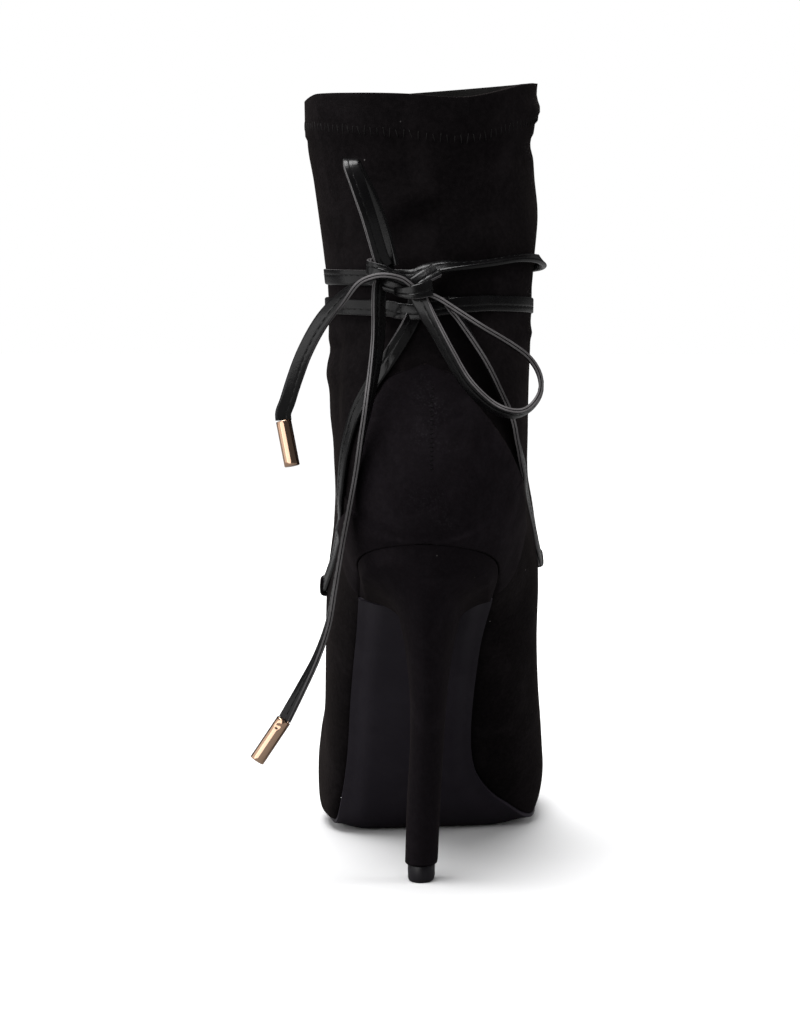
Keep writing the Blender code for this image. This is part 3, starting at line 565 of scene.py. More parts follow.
# This copy is also lighter than the shaft's suede: painted light, for the light that falls on the heel's cover.
heel_suede_painted_lighter = suede_finish(
    "black_suede_heel", (0.0092, 0.0074, 0.0090), (0.0150, 0.0122, 0.0146), 70.0, 0.6, (0.5, 0.22))
lining = grain_finish(
    "knit_lining", (0.0085, 0.0078, 0.0075), (0.014, 0.013, 0.0125), 1500.0, 0.75, 0.9, (0.4, 0.2), 0.15)
lace_leather = grain_finish(
    "coated_lace_leather", (0.0030, 0.0028, 0.0032), (0.0055, 0.0052, 0.0058), 1700.0, 0.2, 0.32,
    (0.22, 0.12), 0.42)
# The cut edges take a light grey. It is partly the paint on the cut edges and partly painted glints, standing in for
# the bright lines that the edges catch.
lace_edge_paint_and_glint = grain_finish(
    "cut_lace_edge", (0.12, 0.112, 0.115), (0.20, 0.19, 0.195), 2400.0, 0.3, 0.45, (0.2, 0.1), 0.5)
lace_thread = grain_finish(
    "lace_thread", (0.0030, 0.0028, 0.0030), (0.0070, 0.0066, 0.0070), 3000.0, 0.4, 0.55, (0.3, 0.1), 0.3)
thread = grain_finish(
    "black_thread", (0.0022, 0.0020, 0.0021), (0.0050, 0.0045, 0.0048), 3000.0, 0.55, 0.7, (0.3, 0.1), 0.12)
hem_thread = grain_finish(
    "hem_thread", (0.0060, 0.0052, 0.0054), (0.0170, 0.0148, 0.0154), 3000.0, 0.55, 0.7, (0.3, 0.1), 0.2)
sole_rubber = grain_finish(
    "charcoal_sole", (0.0250, 0.0208, 0.0284), (0.0312, 0.0264, 0.0350), 2200.0, 0.36, 0.46,
    (0.12, 0.1), 0.2)
top_piece = grain_finish(
    "heel_tip_plastic", (0.0115, 0.0100, 0.0130), (0.0165, 0.0148, 0.0182), 1800.0, 0.28, 0.4,
    (0.12, 0.08), 0.4)
rose_gold = grain_finish(
    "rose_gold", (0.91, 0.58, 0.40), (0.97, 0.66, 0.47), 2600.0, 0.1, 0.17, (0.04, 0.05), metallic=1.0)
print("materials:", len(bpy.data.materials))

# %% [markdown]
# ## The last: sole line, outline and sections
# A shoe is built on a last, a solid foot shape. Three tables hold it here. One gives the height of
# the sole along the foot, one its outline from below, and one the sections of the upper. Any point
# of the upper then follows from three numbers: a section, a side, and a share of the way to the
# ridge.

# %% Tables of the last
BOOT_LENGTH = 216.0
SEAT_LENGTH = 43.0
SEAT_ROUND = 25.0
TOE_ROUND = 11.0
GAP = 0.3
WALL = 1.6
HEM_STEP = 0.7
HEM_DROPS = {-1: 0.18, 1: 0.27}
HEM_RAMP = 0.12
FAR_RIM_RISE = 0.8
WAVE_SECTIONS = 1.4
BACK_SHARE = 0.42
BACK_FADE = 0.2

SoleRow = namedtuple("SoleRow", "along height skew", defaults=(0.0,))
SOLE_LINE = table(SoleRow, [
    (0, 111.0), (14, 106.0), (28, 99.3), (43, 89.8), (60, 71.0), (78, 46.6, 0.04), (94, 23.4, 0.12),
    (104, 10.4, 0.2), (111, 4.6, 0.22), (117, 3.5, 0.22), (150, 3.5, 0.2), (175, 4.6, 0.05), (200, 8.0),
    (216, 11.0),
])
OutlineRow = namedtuple("OutlineRow", "along centre half")
OUTLINE = table(OutlineRow, [
    (0, 0.0, 22.5), (28, 0.0, 22.5), (43, -1.7, 21.9), (60, -5.2, 20.8), (82, -8.9, 21.0),
    (96, -10.0, 23.4), (104, -8.8, 27.2), (112, -6.2, 32.0), (120, -4.2, 35.6), (130, -3.4, 36.8),
    (142, -2.7, 36.4), (156, -1.6, 33.8), (175, 0.0, 28.2), (195, 1.4, 20.8), (216, 2.0, 11.5),
])
Section = namedtuple(
    "Section", "low_y low_z top_y top_z lateral medial wide_at ridge_x crown tuck_lateral tuck_medial lean",
    defaults=(1.0, 1.0, 1.0, 0.0))
ON_SOLE = None
SECTIONS = table(Section, [
    (216.0, ON_SOLE, 216.0, 11.3, -2.0, 2.0, 0.45, 2.0, 0.9, 1.3, 1.3),
    (213.0, ON_SOLE, 214.6, 19.0, 7.4, 11.4, 0.42, 2.0, 0.9, 1.3, 1.3),
    (206.0, ON_SOLE, 209.5, 25.0, 15.8, 18.8, 0.38, 1.8, 0.9, 1.3, 1.3),
    (192.0, ON_SOLE, 199.0, 30.5, 22.4, 24.9, 0.34, 1.6, 0.92, 1.3, 1.3),
    (171.0, ON_SOLE, 182.0, 37.0, 32.3, 32.6, 0.32, 1.5, 0.96, 1.3, 1.3),
    (150.0, ON_SOLE, 164.0, 44.8, 40.4, 36.4, 0.30, 1.8, 1.0, 0.7, 1.5),
    (129.0, ON_SOLE, 148.0, 56.0, 44.8, 36.6, 0.30, 2.2, 1.03, 0.45, 1.7),
    (113.0, ON_SOLE, 137.5, 71.0, 43.2, 36.0, 0.38, 2.2, 1.06, 0.6, 1.5),
    (98.0, ON_SOLE, 129.0, 87.0, 40.6, 34.9, 0.43, 2.0, 1.08, 0.9, 1.1),
    (82.0, ON_SOLE, 121.5, 103.5, 39.2, 34.4, 0.45, 1.6, 1.08, 1.2, 1.0),
    (64.0, ON_SOLE, 114.5, 120.0, 37.6, 34.9, 0.45, 1.2, 1.06, 1.35, 1.1),
    (44.0, ON_SOLE, 108.0, 137.0, 34.2, 33.7, 0.45, 0.8, 1.04, 1.6, 1.4),
    (24.0, ON_SOLE, 103.0, 153.0, 32.3, 31.6, 0.45, 0.4, 1.0, 1.8, 1.7),
    (9.0, ON_SOLE, 99.8, 164.5, 31.6, 31.3, 0.45, 0.2, 1.0, 1.55, 1.5),
    (2.2, ON_SOLE, 98.0, 173.5, 31.5, 31.4, 0.45, 0.0, 1.0, 1.2, 1.2),
    (0.0, ON_SOLE, 96.6, 182.0, 31.5, 31.5, 0.45, 0.0),
    (-2.5, 119.0, 95.5, 190.0, 31.7, 31.6, 0.45, 0.0),
    (-4.0, 129.0, 94.6, 198.0, 32.1, 31.8, 0.46, 0.0),
    (-3.0, 142.0, 93.6, 206.0, 32.6, 32.2, 0.47, 0.0), (0.5, 154.0, 92.8, 213.0, 33.1, 32.5, 0.48, 0.0),
    (4.5, 166.0, 92.0, 219.0, 33.5, 32.7, 0.48, 0.0), (7.5, 180.0, 91.4, 226.0, 34.7, 33.5, 0.48, -0.3),
    (8.8, 196.0, 91.0, 233.0, 36.4, 34.4, 0.48, -0.7),
    (8.6, 213.0, 90.6, 240.0, 38.2, 33.3, 0.48, -1.2),
    (7.0, 231.0, 90.2, 248.0, 40.2, 32.6, 0.48, -2.0, 1.0, 1.0, 1.0, 0.02),
    (4.5, 249.3, 90.0, 256.5, 40.3, 33.6, 0.48, -2.5, 1.0, 1.0, 1.0, 0.07),
])
SEAT_SECTION = 15
COLLAR_SECTION = len(SECTIONS) - 1
HEM_SECTION = 24.25

# How far the collar's back edge stands above or below its plain line
WaveRow = namedtuple("WaveRow", "x rise")
COLLAR_WAVE = table(WaveRow, [
    (-41, 0.2), (-38.5, 1.6), (-35, 2.6), (-24, 2.0), (-14, 1.2), (-4, 0.1), (5, -1.3), (13, -2.0),
    (19, -1.5), (25, -0.5), (31, 0.6), (35, 0.6),
])

# %% Functions of the last
sole_curves = table_curves(SOLE_LINE, "along")
sole_height = sole_curves["height"]
outline_curves = table_curves(OUTLINE, "along")


def above_sole(along, lift, x=0.0):
    """The height that clears the sole by lift, square to its slope. The tread slants across, so x counts."""
    along -= sole_curves["skew"](along) * x
    slope = sole_height(along + 0.5) - sole_height(along - 0.5)
    return sole_height(along) + lift * math.hypot(1.0, slope)


def outline_half(along):
    """Half the width of the last's bottom, rounded off at the heel and the toe."""
    half = outline_curves["half"](along)
    for distance, radius in ((along, SEAT_ROUND), (BOOT_LENGTH - along, TOE_ROUND)):
        if distance < radius:
            half *= math.sqrt(max(0.0, 1 - (1 - max(distance, 0.0) / radius) ** 2))
    return half


collar_wave = table_curves(COLLAR_WAVE, "x")["rise"]
upper_curves = {}
for field in Section._fields:
    values = [getattr(row, field) for row in SECTIONS]
    if field == "low_z":
        values = [above_sole(row.low_y, GAP) if row.low_z is ON_SOLE else row.low_z for row in SECTIONS]
    upper_curves[field] = smooth_curve(list(range(len(SECTIONS))), values)


def upper_point(section, side, share):
    """A point on the upper's outside: side is -1 outer or 1 inner, share runs from low edge to ridge."""
    at = {name: curve(section) for name, curve in upper_curves.items()}
    hem_at = HEM_SECTION - HEM_DROPS[side] * math.sin(math.pi * min(share, 1.0)) ** 2
    hem = HEM_STEP * soft_step((section - hem_at) / HEM_RAMP + 0.5)
    low_y, top_y = at["low_y"] - hem, at["top_y"] + hem
    edge = 0.0
    if section <= SEAT_SECTION:
        edge = outline_half(low_y) + side * outline_curves["centre"](low_y)
        at["low_z"] = above_sole(low_y, GAP, side * edge)
    wide = max(at["medial" if side > 0 else "lateral"] + hem, edge + GAP * min(section, 1))
    tuck = at["tuck_medial" if side > 0 else "tuck_lateral"]
    ridge = side * at["ridge_x"]
    if share < 0.5:
        turn = share * math.pi
        out = edge + (wide - edge) * math.sin(turn) ** tuck
        climb = at["wide_at"] * (1 - math.cos(turn))
    else:
        turn = (share - 0.5) * math.pi
        out = ridge + (wide - ridge) * max(math.cos(turn), 0.0) ** at["crown"]
        climb = at["wide_at"] + (1 - at["wide_at"]) * math.sin(turn)
    x = side * out
    along = low_y + (top_y - low_y) * climb
    height = at["low_z"] + (at["top_z"] - at["low_z"]) * climb + at["lean"] * x
    if section > COLLAR_SECTION - WAVE_SECTIONS:
        back = 1 - soft_step((share - BACK_SHARE) / BACK_FADE)
        rise = collar_wave(x) * back + FAR_RIM_RISE * (1 - back)
        height += rise * soft_step((section - COLLAR_SECTION + WAVE_SECTIONS) / WAVE_SECTIONS)
    return place(x, along, height)


print("collar's back edge:", [round(v * 1000, 1) for v in upper_point(COLLAR_SECTION, 1, 0.0)])

# %% [markdown]
# ## The upper with its folds
# The stretch shaft is a soft tube: it creases where the lace pulls it in and where the ankle bends.
# A finer grid is moved onto the last's function, then each crease pushes nearby points
# along the normal. A crease is a route in boot millimetres, snapped to the surface, with a width
# and a depth. Solidify adds the wall.

# %% Grid and piece helpers
WELD = 0.002 * MM


def add_grid(bm, rows, columns, point):
    """Adds a grid with UVs and moves each of its corners to point(row, column)."""
    bm.loops.layers.uv.verify()
    made = bmesh.ops.create_grid(bm, x_segments=rows, y_segments=columns, size=1.0, calc_uvs=True)
    for vertex in made["verts"]:
        row = round((vertex.co.x + 1) / 2 * rows)
        column = round((vertex.co.y + 1) / 2 * columns)
        vertex.co = point(row, column)
    return made["verts"]


def faces_of(verts):
    return list({face for vertex in verts for face in vertex.link_faces})


def add_piece(name, bm, materials, cad_nodes, sharp=50.0):
    """Makes a piece of the bmesh. It rides on the boot and stands for the CAD nodes."""
    bmesh.ops.remove_doubles(bm, verts=bm.verts, dist=WELD)
    mesh = bpy.data.meshes.new(name)
    bm.to_mesh(mesh)
    bm.free()
    mesh.shade_smooth()
    mesh.set_sharp_from_angle(angle=math.radians(sharp))
    for material in materials:
        mesh.materials.append(material)
    piece = add_object(name, mesh)
    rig.ride(piece, "root")
    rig.replaces(piece, *cad_nodes)
    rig.slot(piece, cad_nodes[0])
    return piece


def add_wall(piece, thickness, offset=-1.0):
    wall = piece.modifiers.new("Wall", "SOLIDIFY")
    wall.thickness = thickness * MM
    wall.offset = offset
    return wall


def add_bevel(piece, width, segments=3, angle=45.0):
    rim = piece.modifiers.new("Soft edges", "BEVEL")
    rim.width = width * MM
    rim.segments = segments
    rim.limit_method = "ANGLE"
    rim.angle_limit = math.radians(angle)


# %% Creases of the upper
Crease = namedtuple("Crease", "width depth points")
CREASES = table(Crease, [
    # The lace's two turns pull the shaft in.
    (5.0, -0.7, [(-34, 45, 193), (-12, 12, 192), (8, 10, 195), (32, 40, 199)]),
    (4.5, -0.6, [(-33, 45, 185), (-12, 10, 183), (10, 10, 184), (32, 40, 184.5)]),
    # Soft diagonal folds on the back of the shaft.
    (6.5, 0.9, [(3, 9, 224), (-6, 9, 216), (-17, 13, 206)]),
    (6.0, -0.8, [(14, 12, 228), (5, 9, 217), (-5, 9, 207)]),
    (7.0, 0.8, [(30, 35, 222), (24, 22, 211), (12, 12, 204)]),
    (5.0, -0.9, [(33, 48, 236), (26, 26, 233), (14, 12, 231)]),
    # Upright folds and level puckers on the outer side, and puckers by the lower turn on the inner side.
    (4.5, -0.8, [(-29, 27, 178), (-27, 22, 162), (-26, 22, 144)]),
    (5.0, 0.6, [(-32, 36, 176), (-31, 34, 160), (-31, 34, 142)]),
    (3.2, -0.8, [(-24, 18, 172), (-31, 34, 170.5), (-33, 48, 170)]),
    (4.5, 0.7, [(-24, 18, 164), (-31, 34, 162.5), (-33, 48, 162)]),
    (2.6, -0.6, [(22, 18, 189.5), (30, 30, 190), (33, 45, 190.5)]),
    (2.2, -0.5, [(24, 20, 180), (30, 30, 179), (33, 45, 179.5)]),
    (2.4, 0.5, [(25, 22, 176.5), (31, 33, 176), (33, 45, 176)]),
    # The hem's soft roll on the inner side, and the shaft's swell under it.
    (4.0, 1.5, [(27, 26, 246), (33, 40, 247), (34, 52, 248), (33, 66, 249)]),
    (3.5, -0.6, [(27, 27, 236), (33, 42, 236), (33, 58, 237)]),
    # Folds where the instep bends.
    (7.0, -1.3, [(-26, 92, 148), (0, 110, 141), (26, 92, 149)]),
    (6.0, -1.1, [(-28, 90, 130), (0, 115, 125), (27, 92, 131)]),
    (6.5, 1.0, [(-26, 92, 139), (0, 112, 133), (26, 94, 140)]),
    (6.0, -0.9, [(-22, 84, 172), (0, 101, 166), (24, 84, 171)]),
    # Shallow breaks over the toes.
    (5.0, -0.5, [(-34, 146, 26), (-14, 152, 47), (10, 154, 47), (32, 148, 27)]),
    (4.5, -0.4, [(-33, 158, 24), (-12, 162, 43), (12, 163, 43), (30, 160, 24)]),
    # The sewn seam up the back.
    (0.8, -0.3, [(2.4, 2, 166), (3.2, 9, 190), (4.2, 9, 215), (4.7, 7, 236)]),
])
CREASE_READINGS = 8
CREASE_BANKS = 0.8
CREASE_FADE = 5
CREASE_END = 0.15


def crease_push(points, tree):
    """How far, in millimetres, the creases push each point outwards."""
    spots = np.array(points)
    push = np.zeros(len(spots))
    for crease in CREASES:
        route = [tree.find_nearest(place(*row))[0] for row in through(crease.points, CREASE_READINGS)]
        line = np.array(route)
        best = np.full(len(spots), np.inf)
        share = np.zeros(len(spots))
        for i, (start, end) in enumerate(zip(line, line[1:])):
            span = end - start
            t = np.clip((spots - start) @ span / max(span @ span, 1e-12), 0, 1)
            away = np.linalg.norm(spots - start - t[:, None] * span, axis=1)
            nearer = away < best
            best = np.where(nearer, away, best)
            share = np.where(nearer, (i + t) / (len(line) - 1), share)
        reach = (best / MM / crease.width) ** 2
        ends = np.clip(np.minimum(share, 1 - share) * CREASE_FADE, 0, 1)
        strength = CREASE_END + (1 - CREASE_END) * ends
        push += crease.depth * (1 - CREASE_BANKS * reach) * np.exp(-reach) * strength
    return push


# %% Build the upper
UPPER_STEPS = 9
UPPER_SIDE_STEPS = 60
SIDE_CROWDING = 1.3

upper_rings = COLLAR_SECTION * UPPER_STEPS


def upper_grid_point(row, column):
    section = row / UPPER_STEPS
    side = -1 if column <= UPPER_SIDE_STEPS else 1
    steps = column if side < 0 else 2 * UPPER_SIDE_STEPS - column
    return upper_point(section, side, (steps / UPPER_SIDE_STEPS) ** SIDE_CROWDING)


upper_bm = bmesh.new()
add_grid(upper_bm, upper_rings, 2 * UPPER_SIDE_STEPS, upper_grid_point)
bmesh.ops.remove_doubles(upper_bm, verts=upper_bm.verts, dist=WELD)
upper_bm.normal_update()
smooth_tree = BVHTree.FromBMesh(upper_bm)
pushes = crease_push([vertex.co for vertex in upper_bm.verts], smooth_tree)
for vertex, push in zip(list(upper_bm.verts), pushes):
    vertex.co += vertex.normal * float(push) * MM
upper_tree = BVHTree.FromBMesh(upper_bm)
upper = add_piece("suede_upper", upper_bm, [suede, lining], ["upper"], 80.0)
add_wall(upper, WALL).material_offset = 1
add_bevel(upper, 0.6, 3, 60.0)
print("upper:", len(upper.data.polygons), "faces, creases:", len(CREASES))

# %% [markdown]
# ## The heel counter
# A stiff panel cups the heel. Its top is an arch that stands proud of the soft shaft as a rounded
# ledge. It could be a thickened patch of the upper, but a panel of its own keeps the clean edge.
# The grid reads the same function as the upper, lifted off it, and sinks to nothing along its
# border.

# %% Border of the counter
CounterRow = namedtuple("CounterRow", "section low lateral medial")
COUNTER = table(CounterRow, [
    (11.0, 0.05, 0.385, 0.42), (12.0, 0.05, 0.33, 0.392), (13.0, 0.05, 0.287, 0.388),
    (14.0, 0.05, 0.27, 0.38), (15.0, 0.0, 0.274, 0.373), (16.0, 0.0, 0.246, 0.336),
    (17.0, 0.0, 0.22, 0.287), (18.0, 0.0, 0.193, 0.215), (19.0, 0.0, 0.145, 0.138),
    (19.7, 0.0, 0.085, 0.082), (20.05, 0.0, 0.0, 0.0),
])
COUNTER_LIFT = 1.4
COUNTER_SINK = 0.4
COUNTER_WALL = 0.6
NORMAL_STEP = 0.02
TOP_ROUNDING = 3.2
SEAT_ROUNDING = 3.0
FRONT_FADE = 1.8
COUNTER_ROWS = 130
COUNTER_STEPS = 28
BORDER_READINGS = 240
SMOOTHING_ROUNDS = 70
SMOOTHING_MARGIN = 1.5
COUNTER_CLEARANCE = 0.5
CLEARING_EVERY = 4
CLEAR_TO = 45.0
counter_curves = table_curves(COUNTER, "section")


def upper_normal(section, side, share):
    """The way that the last faces at a point."""
    ahead, behind = section + NORMAL_STEP, section - NORMAL_STEP
    forward = upper_point(ahead, side, share) - upper_point(behind, side, share)
    below = share - NORMAL_STEP
    if section >= SEAT_SECTION and below < 0:
        low = upper_point(section, -side, -below)
    else:
        low = upper_point(section, side, max(below, 0.0))
    upward = upper_point(section, side, share + NORMAL_STEP) - low
    return -side * forward.cross(upward).normalized()


def counter_section(share):
    return COUNTER[0].section + (COUNTER[-1].section - COUNTER[0].section) * share


counter_reach = {-1: counter_curves["lateral"], 1: counter_curves["medial"]}
border = [counter_section(i / BORDER_READINGS) for i in range(BORDER_READINGS + 1)]
top_line = np.array([
    upper_point(section, side, counter_reach[side](section)) for side in (-1, 1) for section in border])
print("points on the counter's top line:", len(top_line))

# %% Build the counter


def rounded(distance, radius):
    """A quarter round from 0 at the edge to 1 at the radius."""
    share = min(max(distance / radius, 0.0), 1.0)
    return math.sqrt(1 - (1 - share) ** 2)


counter_bm = bmesh.new()
for side in (-1, 1):
    def counter_point(row, column):
        section = counter_section(row / COUNTER_ROWS)
        share = counter_reach[side](section) * math.sin(math.pi / 2 * column / COUNTER_STEPS)
        point = upper_point(section, side, share)
        from_top = np.linalg.norm(top_line - np.array(point), axis=1).min() / MM
        lift = COUNTER_LIFT * rounded(from_top, TOP_ROUNDING)
        if section < SEAT_SECTION + 1:
            from_seat = point.z / MM - above_sole(upper_curves["low_y"](min(section, SEAT_SECTION)), GAP)
            lift *= 0.5 + 0.5 * rounded(from_seat, SEAT_ROUNDING)
        fade = soft_step((section - COUNTER[0].section) / FRONT_FADE)
        lift = lift * fade - COUNTER_SINK * (1 - fade)
        return point + upper_normal(section, side, share) * lift * MM

    corners = add_grid(counter_bm, COUNTER_ROWS, COUNTER_STEPS, counter_point)
    if side > 0:
        bmesh.ops.reverse_faces(counter_bm, faces=faces_of(corners))
bmesh.ops.remove_doubles(counter_bm, verts=counter_bm.verts, dist=WELD)
top_tree = KDTree(len(top_line))
for i, spot in enumerate(top_line):
    top_tree.insert(spot, i)
top_tree.balance()
inner = [vertex for vertex in counter_bm.verts
         if not vertex.is_boundary and top_tree.find(vertex.co)[2] > TOP_ROUNDING * SMOOTHING_MARGIN * MM]
for turn in range(SMOOTHING_ROUNDS):
    bmesh.ops.smooth_vert(
        counter_bm, verts=inner, factor=0.5, use_axis_x=True, use_axis_y=True, use_axis_z=True)
    if turn % CLEARING_EVERY or turn > SMOOTHING_ROUNDS - 2 * CLEARING_EVERY:
        continue
    for vertex in inner:
        surface, normal, _, _ = upper_tree.find_nearest(vertex.co)
        clearance = (vertex.co - surface).dot(normal) / MM
        if clearance < COUNTER_CLEARANCE and vertex.co.y < place(0.0, CLEAR_TO, 0.0).y:
            vertex.co += normal * (COUNTER_CLEARANCE - clearance) * MM
counter_tree = BVHTree.FromBMesh(counter_bm)
counter = add_piece("heel_counter", counter_bm, [counter_suede_painted_lighter], ["counter"], 80.0)
add_wall(counter, COUNTER_WALL)
print("counter:", len(counter.data.polygons), "faces")

# %% [markdown]
# ## Outsole and insole
# The outsole is a smooth sheet that follows the last's bottom from the toe to the heel's breast,
# pared to a thin rim. The insole lies inside on it. Each is a grid on the same curves, solidified,
# with its rim rounded by a bevel. A vertex group tells Solidify how thick to be, so the tread is
# full and the rim is thin.

# %% Build the soles
OUTSOLE_THICKNESS = 3.5
INSOLE_THICKNESS = 2.0
INSOLE_START = 2.6
INSOLE_END = BOOT_LENGTH - 3.4
INSOLE_INSET = 0.1
SOLE_ROWS = 140
SOLE_COLUMNS = 24
RIM_START = 0.62
LEAST_HALF = 0.1


def make_sole_layer(name, cad_node, start, end, inset, lift, thickness, material, round_by, rim_share):
    """A layer that follows the last's bottom, and thins to rim_share of its thickness at the edge."""
    def centre_and_half(along):
        read = (along - start) / (end - start) * BOOT_LENGTH if inset else along
        return outline_curves["centre"](read), outline_half(read) * (1 - inset)

    def point(row, column):
        along = start + (end - start) * (1 - math.cos(math.pi * row / SOLE_ROWS)) / 2
        centre, half = centre_and_half(along)
        x = centre + (2 * column / SOLE_COLUMNS - 1) * half
        return place(x, along, above_sole(along, lift, x))

    bm = bmesh.new()
    corners = add_grid(bm, SOLE_ROWS, SOLE_COLUMNS, point)
    bmesh.ops.reverse_faces(bm, faces=faces_of(corners))
    layer = add_piece(name, bm, [material], [cad_node], 60.0)
    plump = layer.vertex_groups.new(name="plump")
    for vertex in layer.data.vertices:
        centre, half = centre_and_half(vertex.co.y / MM + HEEL_TO_TREAD)
        across = abs(vertex.co.x / MM - centre) / max(half, LEAST_HALF)
        thinned = (1 - rim_share) * soft_step((across - RIM_START) / (1 - RIM_START))
        plump.add([vertex.index], 1 - thinned, "REPLACE")
    add_wall(layer, thickness).vertex_group = plump.name
    add_bevel(layer, round_by, 3, 50.0)
    return layer


make_sole_layer("smooth_outsole", "outsole", SEAT_LENGTH + GAP, BOOT_LENGTH, 0.0, 0.0, OUTSOLE_THICKNESS,
                sole_rubber, 0.4, 0.36)
make_sole_layer("sock_insole", "insole", INSOLE_START, INSOLE_END, INSOLE_INSET, 2 * GAP + INSOLE_THICKNESS,
                INSOLE_THICKNESS, lining, 0.5, 1.0)
print("soles:", OUTSOLE_THICKNESS, "and", INSOLE_THICKNESS, "mm")

# %% [markdown]
# ## The covered heel
# A stiletto heel is a plastic core with suede pulled tight over it. Its seat follows the last and
# its sides sweep in. Rings from a table are lofted: round at the back, flat at the breast. A bevel
# softens the two breast edges. The top piece under it is hard plastic, a little smaller, with a
# rounded lower edge.

# %% Build the heel
TOP_PIECE_HEIGHT = 5.3
HeelRing = namedtuple("HeelRing", "back_y back_z front_y front_z half centre")
HEEL_RINGS = table(HeelRing, [
    (0.9, 105.8, 41.2, 88.5, 20.2, -0.7), (2.0, 100.2, 40.2, 86.9, 14.8, -0.3),
    (3.5, 93.6, 38.6, 83.9, 10.3, 0.0), (5.6, 85.2, 36.2, 78.5, 8.5, 0.2),
    (8.2, 75.0, 33.8, 70.5, 7.0, 0.2), (11.2, 62.0, 31.8, 58.8, 5.8, 0.1),
    (14.6, 45.0, 30.7, 43.5, 5.3, -0.4), (17.2, 26.0, 30.4, 25.5, 5.3, -1.4),
    (19.2, TOP_PIECE_HEIGHT + GAP, 30.6, TOP_PIECE_HEIGHT + GAP, 5.2, -2.2),
])
HEEL_ROUND_SHARE = 0.58
HEEL_STEPS = 8
SEAT_STEPS = 4
RING_SIDE_STEPS = 26
BREAST_STEPS = 6
RING_START = 0.004
heel_rings = [HeelRing(*row) for row in through(HEEL_RINGS, HEEL_STEPS)]


def round_the_ring(column):
    """Where a column of the loft lies: its side, and its share of the way from back to front."""
    def round_share(steps):
        return RING_START + (1 - RING_START) * (1 - math.cos(math.pi / 2 * steps / RING_SIDE_STEPS))

    if column <= RING_SIDE_STEPS:
        return -1, 1.0, round_share(column)
    column -= RING_SIDE_STEPS
    if column < BREAST_STEPS:
        return -1, 1 - 2 * column / BREAST_STEPS, 1.0
    return 1, 1.0, round_share(RING_SIDE_STEPS - (column - BREAST_STEPS))


def ring_point(ring, column):
    side, across, share = round_the_ring(column)
    width = ring.half * math.sqrt(1 - max(0.0, 1 - share / HEEL_ROUND_SHARE) ** 2)
    return place(ring.centre + side * across * width, ring.back_y + (ring.front_y - ring.back_y) * share,
                 ring.back_z + (ring.front_z - ring.back_z) * share)


def seat_point(column):
    side, across, share = round_the_ring(column)
    along = SEAT_LENGTH * share
    x = outline_curves["centre"](along) + side * across * outline_half(along)
    return place(x, along, sole_height(along))


def heel_point(row, column):
    column %= heel_columns
    if row >= SEAT_STEPS:
        return ring_point(heel_rings[row - SEAT_STEPS], column)
    return seat_point(column).lerp(ring_point(heel_rings[0], column), row / SEAT_STEPS)


def close_ends(bm):
    """Fills the open rims of a loft."""
    rims = [edge for edge in bm.edges if edge.is_boundary]
    bmesh.ops.holes_fill(bm, edges=rims, sides=0)
    bmesh.ops.recalc_face_normals(bm, faces=bm.faces)


heel_bm = bmesh.new()
heel_columns = 2 * RING_SIDE_STEPS + BREAST_STEPS + 1
add_grid(heel_bm, SEAT_STEPS + len(heel_rings) - 1, heel_columns, heel_point)
bmesh.ops.remove_doubles(heel_bm, verts=heel_bm.verts, dist=WELD)
close_ends(heel_bm)
heel = add_piece("covered_heel", heel_bm, [heel_suede_painted_lighter], ["heel"])
add_bevel(heel, 0.7)
print("heel rings:", len(heel_rings))

# %% Build the heel's top piece
TOP_PIECE = HeelRing(20.0, TOP_PIECE_HEIGHT, 29.9, TOP_PIECE_HEIGHT, 4.3, -2.2)
TIP_RINGS = [(TOP_PIECE_HEIGHT, 0.15), (5.0, 0.0), (1.0, 0.05), (0.45, 0.2), (0.12, 0.5), (0.0, 0.9)]
tip_bm = bmesh.new()


def tip_point(row, column):
    height, inset = TIP_RINGS[row]
    ring = HeelRing(TOP_PIECE.back_y + inset, height, TOP_PIECE.front_y - inset, height,
                    TOP_PIECE.half - inset, TOP_PIECE.centre)
    return ring_point(ring, column % heel_columns)


add_grid(tip_bm, len(TIP_RINGS) - 1, heel_columns, tip_point)
bmesh.ops.remove_doubles(tip_bm, verts=tip_bm.verts, dist=WELD)
close_ends(tip_bm)
add_piece("heel_top_piece", tip_bm, [top_piece], ["heel_tip"], 40.0)
print("top piece:", TOP_PIECE_HEIGHT, "mm high")

# %% [markdown]
# ## The lace
# The lace is a strip folded in two and sewn along its length: one edge is a fold, the other shows
# two cut layers. A small profile with a sewn groove and a slit is swept along a route, and tiny
# stitches are laid in the groove. On the boot the route is draped over upper and counter. Free
# loops and ends follow listed routes.

# %% Strap helpers
LACE_WIDTH = 5.0
LACE_THICKNESS = 1.6
STITCH_PITCH = 2.9
STITCH_LENGTH = 2.0
STITCH_SIZE = 0.42
GROOVE_AT = -0.75
GROOVE_FLOOR = 0.69
PROFILE = [
    (-2.5, 0.60), (-2.43, 0.73), (-2.28, 0.79), (-1.4, 0.80), (-1.04, 0.80), (-0.92, 0.76),
    (GROOVE_AT, GROOVE_FLOOR), (-0.58, 0.76), (-0.46, 0.80), (0.0, 0.81), (1.5, 0.80), (1.95, 0.78),
    (2.2, 0.69), (2.38, 0.51), (2.47, 0.27), (2.5, 0.0), (2.47, -0.27), (2.38, -0.51), (2.2, -0.69),
    (1.95, -0.78), (1.5, -0.80), (0.0, -0.81), (-0.46, -0.80), (-0.58, -0.76), (GROOVE_AT, -GROOVE_FLOOR),
    (-0.92, -0.76), (-1.04, -0.80), (-1.4, -0.80), (-2.28, -0.79), (-2.43, -0.73), (-2.5, -0.60),
    (-2.5, -0.15), (-2.25, 0.0), (-2.5, 0.15),
]
# The strips of the profile that lie on the two cut layers. They take a light grey that is partly edge paint and partly
# painted glints.
CUT_COLUMNS = (29, 30, 33, 0)
THREAD_SLOT = 1
CUT_SLOT = 2
BALL_SIDES = 6
BALL_RINGS = 4


